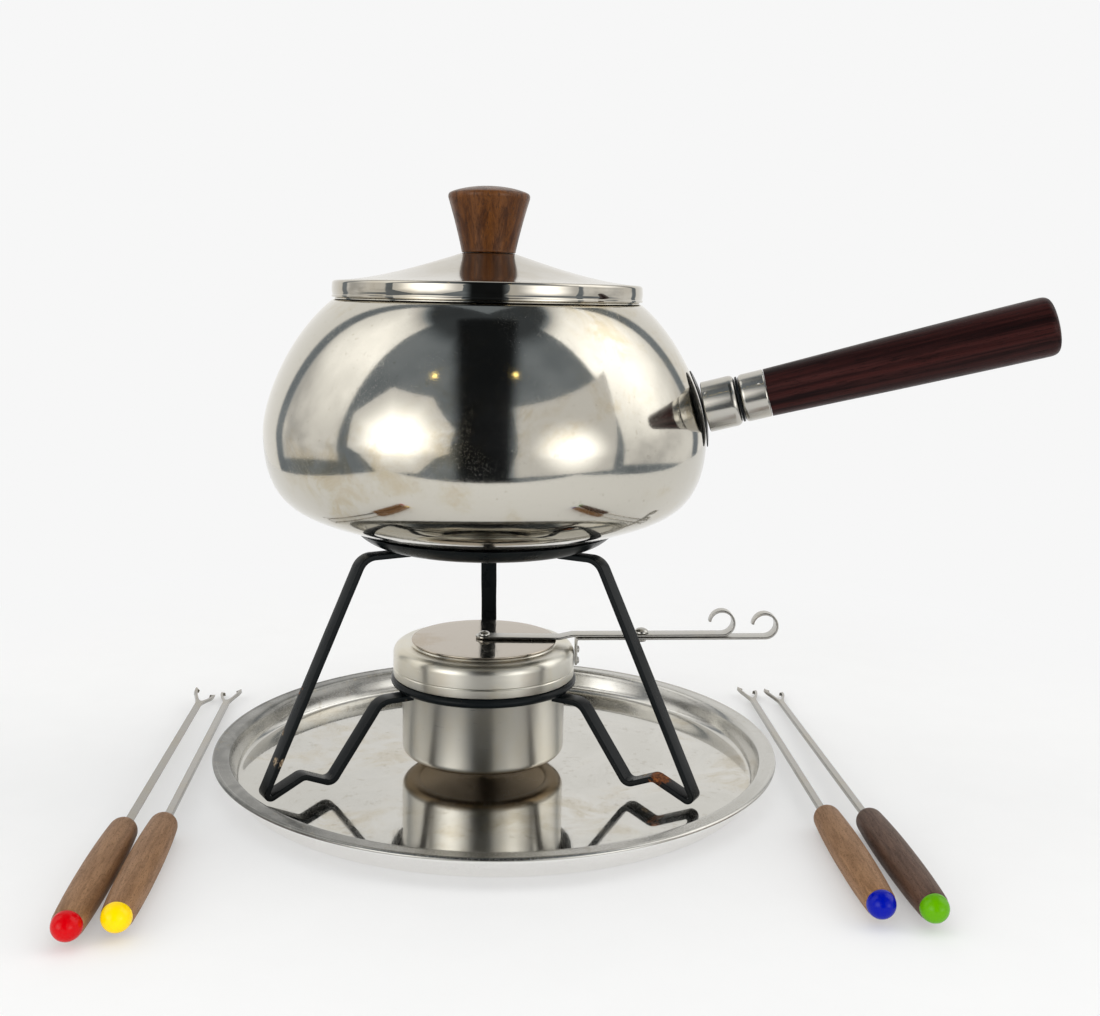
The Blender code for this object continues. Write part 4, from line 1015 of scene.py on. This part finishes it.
def build_arms(brushed_mat, disc_steel):
    mid = ARM_LOW_Z + ARM_THICK / 2.0
    wall_x = CAP_R + GAP + ARM_THICK / 2.0
    end_x = CARRY_CURL_X - CURL_R
    rise = arm_height(end_x)
    corners = [(wall_x, ARM_LOW_Z - TAB_DROP), (wall_x, mid), (end_x - 0.5, mid + rise)]
    straight = filleted_path(corners, (1.2,), 8, 2.0)
    path = straight + curl(CARRY_CURL_X, ARM_LOW_Z + rise)
    arm = strip("carry_arm_strip", path, ARM_THICK, curl_widths(len(straight), len(path)), STAND, 0.25)
    cut(arm, [hole_cutter(PIVOT_X, 1.6, ARM_LOW_Z - 2.0, ARM_LOW_Z + 4.0)])
    finish_piece(arm, brushed_mat, "burner_top", "carry_arm")

    outer_x = CAP_R + GAP + ARM_THICK
    for index, z in enumerate((51.6, 57.0)):
        outline = [(0, outer_x + GAP), (1.7, outer_x + GAP), (1.68, outer_x + 0.55)]
        outline += bezier((1.62, outer_x + 0.68), (1.3, outer_x + 1.0), (0.7, outer_x + 1.2),
                          (0, outer_x + 1.2), 6)
        place = shift(STAND_X, 0, z) @ quarter_turn()
        rivet = turned("tab_rivet_%d" % (index + 1), outline, 32, place)
        finish_piece(rivet, brushed_mat, "burner_top", "carry_arm_rivet_%d" % (index + 1))

    low_mid = DISC_Z + SHEET + GAP + ARM_THICK / 2.0
    high_mid = ARM_LOW_Z + ARM_THICK + GAP + ARM_THICK / 2.0
    end_x = SNUFFER_CURL_X - CURL_R
    rise = arm_height(end_x)
    joggle_x = CAP_R - 1.0
    corners = [(0.0, low_mid), (joggle_x - 6.0, low_mid), (joggle_x, high_mid),
               (end_x - 0.5, high_mid + rise)]
    straight = filleted_path(corners, (4.0, 4.0), 8, 2.0)
    tip = []
    tip_widths = []
    for i in range(1, 13):
        a = math.radians(90.0 - 6.8 * i)
        tip.insert(0, Vector((-ARM_WIDTH / 2.0 * math.cos(a), low_mid)))
        tip_widths.insert(0, ARM_WIDTH * math.sin(a))
    path = tip + straight + curl(SNUFFER_CURL_X, high_mid + rise - ARM_THICK / 2.0)
    widths = tip_widths + curl_widths(len(straight), len(path) - len(tip))
    arm = strip("snuffer_arm_strip", path, ARM_THICK, widths, STAND, 0.25)
    cut(arm, [hole_cutter(0.0, 1.5, low_mid - 3.0, low_mid + 3.0),
              hole_cutter(PIVOT_X, 1.6, high_mid - 3.0, high_mid + 4.0)])
    finish_piece(arm, brushed_mat, "snuffer", "snuffer_arm")

    high = DISC_Z + SHEET
    outline = [(1.5, DISC_Z), (DISC_R - 0.3, DISC_Z)] + arc((DISC_R - 0.4, DISC_Z + 0.4), 0.4, -60, 60, 5)
    outline += [(DISC_R - 0.6, high - 0.02), (30.0, high), (20.0, high), (10.0, high), (1.5, high)]
    finish_piece(turned("disc_plate", outline, 144, STAND), disc_steel, "snuffer", "snuffer_disc")

    arm_top = DISC_Z + SHEET + GAP + ARM_THICK
    rivet_piece("disc_rivet", 0.0, (DISC_Z, DISC_Z + SHEET, arm_top + GAP, arm_top + 2.0), 1.2, 2.8, 1.2,
                brushed_mat, "snuffer_disc_rivet")
    pair_low = ARM_LOW_Z + arm_height(PIVOT_X - 4.0)
    pair_top = ARM_LOW_Z + arm_height(PIVOT_X + 4.0) + 2 * ARM_THICK + GAP
    levels = (pair_low - GAP - 1.1, pair_low - GAP, pair_top + GAP, pair_top + 2.4)
    rivet_piece("pivot_rivet", PIVOT_X, levels, 1.5, 3.4, 2.4, brushed_mat, "arm_pivot_rivet")


def rivet_piece(name, x, levels, shank_r, head_r, closing, mat, node):
    foot_low, foot_high, head_low, head_top = levels
    outline = [(0, foot_low), (closing - 0.4, foot_low), (closing - 0.1, foot_low + 0.1),
               (closing, foot_low + 0.4)]
    if closing > shank_r:
        outline += [(closing, foot_high), (shank_r, foot_high)]
    outline.append((shank_r, head_low))
    dome = arc((0, 0), 1.0, 0, 90, 12)[:-1] + [(0, 1)]
    outline += [(head_r * across, head_low + (head_top - head_low) * up) for across, up in dome]
    finish_piece(turned(name, outline, 48, shift(STAND_X + x)), mat, "snuffer", node)


# ---------------------------------------------------------------- forks
def fork_place(ball_x, ball_y, yaw, roll):
    lean = math.radians(abs(roll))
    belly_z = FORK_BELLY_R + GAP
    tip_z = FORK_SPREAD * math.sin(lean) + FORK_BAR_THICK / 2.0 * math.cos(lean) + GAP + 0.4
    dip = math.asin((belly_z - tip_z) / (FORK_TIP - FORK_BELLY))
    ball_z = belly_z + FORK_BELLY * math.sin(dip)
    turn = (Matrix.Rotation(math.radians(90.0 + yaw), 4, "Z") @ Matrix.Rotation(dip, 4, "Y")
            @ Matrix.Rotation(math.radians(roll), 4, "X"))
    return shift(ball_x, ball_y, ball_z) @ turn


def build_fork(colour, placing, handle_mat, ball_mat, shaft_mat):
    frame_place = fork_place(*placing)
    place = frame_place @ quarter_turn()
    body = "fork_" + colour
    side = bezier((FORK_BUTT_R, FORK_BUTT + 1.0), (FORK_BUTT_R + 0.9, 16.0), (FORK_BELLY_R, 32.0),
                  (FORK_BELLY_R, FORK_BELLY), 14)
    side += bezier((FORK_BELLY_R, FORK_BELLY), (FORK_BELLY_R, 58.0), (FORK_NECK_R + 0.4, 72.0),
                   (FORK_NECK_R, FORK_NECK - 5.0), 12)[1:]
    nose = bezier((FORK_NECK_R, FORK_NECK - 5.0), (FORK_NECK_R - 0.1, FORK_NECK - 1.6),
                  (FORK_NECK_R - 2.0, FORK_NECK - 0.1), (FORK_BORE_R, FORK_NECK), 10)[1:]
    bore_end = FORK_BAR_START - 2.0
    plug_r = 3.0
    groove = [(plug_r, FORK_BUTT), (FORK_BUTT_R - 0.55, FORK_BUTT), (FORK_BUTT_R - 0.15, FORK_BUTT + 0.3)]
    outline = groove + side + nose
    outline += [(FORK_BORE_R, bore_end), (0, bore_end), (0, FORK_BUTT + 8.0), (plug_r, FORK_BUTT + 8.0)]
    handle = turned("%s_fork_wood" % colour, outline, 64, place)
    finish_piece(handle, handle_mat, body, "fork_%s_handle" % colour)

    flat = FORK_BUTT - GAP
    start = math.degrees(math.asin(flat / FORK_BALL_R))
    dome = arc((0, 0), FORK_BALL_R, -90, start, 22)
    dome[0] = (0, -FORK_BALL_R)
    outline = dome + [(3.0 - GAP, flat), (3.0 - GAP, FORK_BUTT + 7.0), (0, FORK_BUTT + 7.0)]
    finish_piece(turned("%s_fork_ball" % colour, outline, 64, place), ball_mat, body,
                 "fork_%s_ball" % colour)

    shaft = fork_shaft("%s_fork_bar" % colour, frame_place)
    finish_piece(shaft, shaft_mat, body, "fork_%s_shaft" % colour)


def fork_shaft(name, place):
    """Flat bar split into two splayed, barbed tines, with softened edges."""
    half = FORK_BAR_WIDTH / 2.0
    tine = 1.35
    reach = FORK_TIP - FORK_CROTCH
    upper = [(FORK_BAR_START, half)]
    upper += [(FORK_BAR_START + (FORK_CROTCH - 3.0 - FORK_BAR_START) * i / 12, half) for i in range(1, 13)]
    upper += bezier((FORK_CROTCH - 1.0, half), (FORK_CROTCH + 2.0, half + 0.5),
                    (FORK_CROTCH + 0.40 * reach, FORK_SPREAD - 1.9),
                    (FORK_CROTCH + 0.62 * reach, FORK_SPREAD - 0.5), 8)
    upper += [(FORK_TIP - 4.0, FORK_SPREAD + 0.05), (FORK_TIP - 1.6, FORK_SPREAD + 0.25),
              (FORK_TIP - 0.3, FORK_SPREAD + 0.1), (FORK_TIP, FORK_SPREAD - 0.2),
              (FORK_TIP - 1.4, FORK_SPREAD - 1.2),
              (FORK_TIP - 2.9, FORK_SPREAD - tine - 1.1), (FORK_TIP - 3.4, FORK_SPREAD - tine - 0.9),
              (FORK_TIP - 3.0, FORK_SPREAD - tine)]
    upper += bezier((FORK_CROTCH + 0.62 * reach, FORK_SPREAD - tine - 0.6),
                    (FORK_CROTCH + 0.45 * reach, 2.6), (FORK_CROTCH + 4.4, 1.6), (FORK_CROTCH + 3.0, 0.7), 6)
    upper += [(FORK_CROTCH + 2.4, 0.3), (FORK_CROTCH + 2.2, 0.0)]
    lower = [(x, -y) for x, y in reversed(upper[:-1])]
    ring = upper + lower
    thick = FORK_BAR_THICK / 2.0
    edge = 0.22
    levels = [(edge + 0.07, -thick), (edge, -thick), (edge * 0.3, edge * 0.3 - thick), (0.0, edge - thick)]
    levels += [(inset, -z) for inset, z in reversed(levels)]
    verts = []
    faces = []
    for inset, z in levels:
        verts += [(x, y, z) for x, y in drawn_in(ring, inset)]
    count = len(ring)
    for i in range(len(levels) - 1):
        for k in range(count):
            n = (k + 1) % count
            faces.append((i * count + k, i * count + n, (i + 1) * count + n, (i + 1) * count + k))
    faces.append(tuple(range(count)))
    faces.append(tuple((len(levels) - 1) * count + k for k in reversed(range(count))))
    return to_object(name, verts, faces, place, 50.0)


def drawn_in(ring, distance):
    """A closed outline moved towards its inside."""
    area = sum(a[0] * b[1] - b[0] * a[1] for a, b in zip(ring, ring[1:] + ring[:1]))
    sign = 1.0 if area > 0 else -1.0
    moved = []
    for i, (x, y) in enumerate(ring):
        before = Vector((x, y)) - Vector(ring[i - 1])
        after = Vector(ring[(i + 1) % len(ring)]) - Vector((x, y))
        along = before.normalized() + after.normalized()
        if along.length < 1e-3:
            along = before
        along.normalize()
        moved.append((x - sign * along.y * distance, y + sign * along.x * distance))
    return moved


# ---------------------------------------------------------------- studio
FLOOR_TONE = (0.62, 0.62, 0.62)
FLOOR_LIFT = 0.46             # light the table sends back evenly, which keeps its shadows pale
FLOOR_FADE = (0.26, 0.46)     # radii between which the table turns into the surround, metres
FLOOR_CORNERS = ((-0.50, -0.47), (0.42, -0.47), (0.54, -0.31), (0.82, 0.47), (0.82, 1.4), (-0.55, 1.4))
SURROUND = (0.93, 0.93, 0.93)
FILL = 0.18
# Directions in the studio, in degrees: round from straight in front of the set, then up.
LEFT_BOX = (-44.0, 11.0)
RIGHT_BOX = (43.0, 11.0)
CEILING_LAMPS = ((-35.0, 48.0), (21.0, 51.0))
WALL_NEAR = 76.5
WALL_FAR = 123.5
WALL_FOOT = -11.5
WALL_TOP = 71.0
BACKDROP = 129.0


def build_floor():
    """Pale table that fades into the pale surround."""
    look = Look("floor", "floor")
    look.tree.nodes.remove(look.shader)
    vector = look.place()
    x, y = look.xyz(vector)[:2]
    grain = look.noise(vector, 40.0, 3.0, 0.5)
    paper = look.mix(look.span(grain, 0.3, 0.7, 0.0, 0.5), FLOOR_TONE, tuple(c * 0.985 for c in FLOOR_TONE))
    diffuse = look.node("ShaderNodeBsdfDiffuse", {"Color": paper})
    glow = look.node("ShaderNodeEmission", {"Color": (*SURROUND, 1.0), "Strength": 1.0})
    radius = look.reach(x, y)
    far = look.span(radius, *FLOOR_FADE)
    seen = look.node("ShaderNodeLightPath", {}, "Is Camera Ray")
    lift = look.node("ShaderNodeEmission", {"Color": paper, "Strength": FLOOR_LIFT})
    table = look.node("ShaderNodeAddShader", {0: diffuse, 1: lift})
    blend = look.node("ShaderNodeMixShader", {0: far * seen, 1: table, 2: glow})
    output = next(n for n in look.tree.nodes if n.type == "OUTPUT_MATERIAL")
    look.put(output.inputs["Surface"], blend)
    mesh = bpy.data.meshes.new("floor")
    mesh.from_pydata([(x, y, 0) for x, y in FLOOR_CORNERS], [], [tuple(range(len(FLOOR_CORNERS)))])
    obj = bpy.data.objects.new("floor", mesh)
    mesh.materials.append(look.mat)
    bpy.context.scene.collection.objects.link(obj)
    obj.location.z = -0.0001


class WorldLook(Look):
    def __init__(self):
        self.world = bpy.data.worlds.new("studio")
        bpy.context.scene.world = self.world
        self.world.use_nodes = True
        self.tree = self.world.node_tree


def build_world():
    """Studio seen in the steel: two soft boxes in front, white side walls and backdrop, a dark room."""
    w = WorldLook()
    coords = w.node("ShaderNodeTexCoord", {}, "Generated")
    x, y, z = w.xyz(coords)
    azimuth = w.math("DEGREES", w.math("ARCTAN2", x, y * -1.0))
    height = w.math("DEGREES", w.math("ARCSINE", z))
    side = w.math("ABSOLUTE", azimuth)
    outer = side - w.span(azimuth, -1.0, 1.0, 0.0, 9.0)
    shrink = w.math("COSINE", w.math("RADIANS", height))

    def centred(az, el):
        return ((azimuth - az) * shrink, height - el)

    def blob(az, el, radius):
        return w.span(w.reach(*centred(az, el)), radius, 0.0)

    def over(under, value, mask):
        return under * (1.0 - mask) + value * mask

    # brightness of the room itself
    level = w.span(w.noise(coords, 3.0, 2.0, 0.5), 0.3, 0.7, 0.21, 0.29)
    # side walls
    inner = side + w.span(azimuth, -1.0, 1.0, 0.0, 4.5)
    wall = w.span(inner, WALL_NEAR, WALL_NEAR + 2.0) * w.span(outer, WALL_FAR, WALL_FAR - 2.5)
    wall = wall * w.span(height, WALL_FOOT, WALL_FOOT + 1.5) * w.span(height, WALL_TOP, WALL_TOP - 5.0)
    cloth = w.span(w.noise(coords, 2.6, 3.0, 0.55), 0.32, 0.68, 0.62, 0.98)
    cloth = cloth + blob(-92.0, 44.0, 38.0) * 0.9 + blob(98.0, 40.0, 46.0) * 1.5
    level = over(level, cloth, wall)
    # backdrop
    back = w.span(outer, BACKDROP, BACKDROP + 3.0)
    level = over(level, 0.97, back)
    # eight-sided soft box on the left
    u, v = centred(*LEFT_BOX)
    u = w.math("ABSOLUTE", u)
    v = w.math("ABSOLUTE", v)
    reach = w.math("MAXIMUM", w.math("MAXIMUM", u, v), (u + v) * 0.72)
    box = w.span(reach, 27.2, 26.6)
    glow = w.span(reach, 26.0, 4.0, 0.95, 3.2)
    level = over(level, glow, box)
    # square soft box on the right
    u, v = centred(*RIGHT_BOX)
    reach = w.math("MAXIMUM", w.math("ABSOLUTE", u - v * 0.12), w.math("ABSOLUTE", v - u * 0.10))
    box = w.span(reach, 26.6, 26.0)
    glow = 0.80 + blob(44.0, 4.0, 24.0) * 2.4
    level = over(level, glow, box)
    # dark gap in the middle, where the camera stands
    ahead = w.span(y, 0.1, -0.1)
    gap = w.span(w.math("ABSOLUTE", x), 0.30, 0.17) * ahead * w.span(height, -30.0, -24.0)
    gap = w.math("MAXIMUM", gap, w.span(height, 60.0, 72.0, 0.0, 0.8))
    level = level * (1.0 - gap * 0.95)
    tint = w.mix(w.span(level, 0.15, 0.7), (0.90, 1.03, 1.16), (1.0, 0.99, 0.965))
    lamps = blob(*CEILING_LAMPS[0], 1.6) + blob(*CEILING_LAMPS[1], 1.6)
    colour = w.mix(1.0, tint, w.join(level, level, level), "MULTIPLY")
    colour = w.mix(lamps, colour, (7.0, 5.2, 1.6))

    fill = w.mix(1.0, colour, (FILL, FILL, FILL), "ADD")
    shown = w.mix(w.node("ShaderNodeLightPath", {}, "Is Diffuse Ray"), colour, fill)
    shown = w.mix(w.node("ShaderNodeLightPath", {}, "Is Camera Ray"), shown, SURROUND)
    background = w.tree.nodes["Background"]
    w.put(background.inputs["Color"], shown)
    background.inputs["Strength"].default_value = 1.0


def area_light(name, location, target, size, power):
    """Soft round lamp that lights the set without showing in the steel."""
    light = bpy.data.lights.new(name, "AREA")
    light.shape = "DISK"
    light.size = size
    light.energy = power
    obj = bpy.data.objects.new(name, light)
    obj.location = location
    obj.rotation_euler = (Vector(target) - Vector(location)).to_track_quat("-Z", "Y").to_euler()
    obj.visible_glossy = False
    obj.visible_camera = False
    bpy.context.scene.collection.objects.link(obj)


CAMERA_PLACE = (0.00246, -0.58009, 0.22112)
CAMERA_TURN = (0.0358, 0.1653, 0.02)     # yaw, pitch down and roll, radians
CAMERA_LENS = 41.585


def build_camera():
    """Low three-quarter distance view from in front, tilted slightly down."""
    yaw, pitch, roll = CAMERA_TURN
    ahead = Vector((math.sin(yaw) * math.cos(pitch), math.cos(yaw) * math.cos(pitch), -math.sin(pitch)))
    level = Vector((math.cos(yaw), -math.sin(yaw), 0.0))
    over = level.cross(ahead)
    right = level * math.cos(roll) + over * math.sin(roll)
    up = over * math.cos(roll) - level * math.sin(roll)
    data = bpy.data.cameras.new("camera")
    data.sensor_width = 36.0
    data.lens = CAMERA_LENS
    data.clip_start = 0.01
    data.clip_end = 50.0
    obj = bpy.data.objects.new("camera", data)
    placing = Matrix((right, up, -ahead)).transposed().to_4x4()
    placing.translation = Vector(CAMERA_PLACE)
    obj.matrix_world = placing
    bpy.context.scene.collection.objects.link(obj)
    bpy.context.scene.camera = obj


# ---------------------------------------------------------------- whole scene
def build():
    pot_steel = polished("pot_steel", (0.57, 0.545, 0.485), 0.035, 0.016)
    disc_steel = polished("disc_steel", (0.42, 0.37, 0.31), 0.08, 0.05)
    bar_steel = brushed("bar_steel", (0.44, 0.43, 0.405), 0.24, "X", 700.0, 0.0, 0.12)
    cup_steel = brushed("cup_steel", (0.68, 0.665, 0.62), 0.30, "Z", 1500.0, 0.0, 0.05, 0.75,
                        CUP_BASE_Z + 1.0)
    cap_steel = brushed("cap_steel", (0.64, 0.625, 0.57), 0.30, "Z", 1500.0, 0.25, 0.045, 0.75)
    ferrule_steel = brushed("ferrule_steel", (0.50, 0.485, 0.45), 0.20, "Z", 1500.0, 0.1, 0.05, 0.8)
    fork_steel = brushed("fork_steel", (0.35, 0.34, 0.32), 0.22, "X", 700.0, 0.2, 0.22)
    plate_paint = black_paint("black_paint_plate")
    grip_wood = wood("rosewood", (0.005, 0.0016, 0.0018), (0.036, 0.0100, 0.0090),
                     (0.010, 0.004, 0.0045), 0.030, 210.0, 0.30, 0.5, 0.5, 0.3, 0.08)
    knob_mat = wood("knob_wood", (0.036, 0.011, 0.0032), (0.125, 0.045, 0.011), (0.022, 0.007, 0.003),
                    0.16, 230.0, 0.30, 0.45, 0.6, 1.7, 0.24)
    teak = wood("teak", (0.175, 0.088, 0.038), (0.290, 0.155, 0.072), (0.150, 0.074, 0.034),
                0.16, 620.0, 0.52, 0.50, 0.15, 0.9, 0.25, 3500.0, 0.2)
    dark_teak = wood("dark_teak", (0.058, 0.030, 0.019), (0.120, 0.064, 0.040), (0.050, 0.026, 0.017),
                     0.16, 620.0, 0.50, 0.45, 0.15, 2.9, 0.25, 3500.0, 0.2)
    build_tray(tray_steel())
    build_stand()
    build_pot(pot_steel)
    build_handle(ferrule_steel, plate_paint, grip_wood)
    build_lid(lid_steel(), knob_mat, ferrule_steel)
    build_burner(cup_steel, cap_steel, bar_steel, cotton())
    build_arms(bar_steel, disc_steel)
    balls = {"red": (0.52, 0.0, 0.003), "yellow": (0.88, 0.60, 0.0), "blue": (0.0, 0.005, 0.30),
             "green": (0.10, 0.33, 0.0)}
    for colour, placing in FORKS.items():
        build_fork(colour, placing, dark_teak if colour == "green" else teak,
                   ball_plastic("ball_" + colour, balls[colour]), fork_steel)
    build_floor()
    build_world()
    area_light("overhead", (0.0, -0.1, 1.3), (0.0, 0.0, 0.0), 1.2, 2.5)
    area_light("front_fill", (0.0, -1.2, 0.14), (0.0, 0.0, 0.03), 0.5, 7.0)
    build_camera()
    bpy.context.scene.view_settings.view_transform = "Standard"


build()
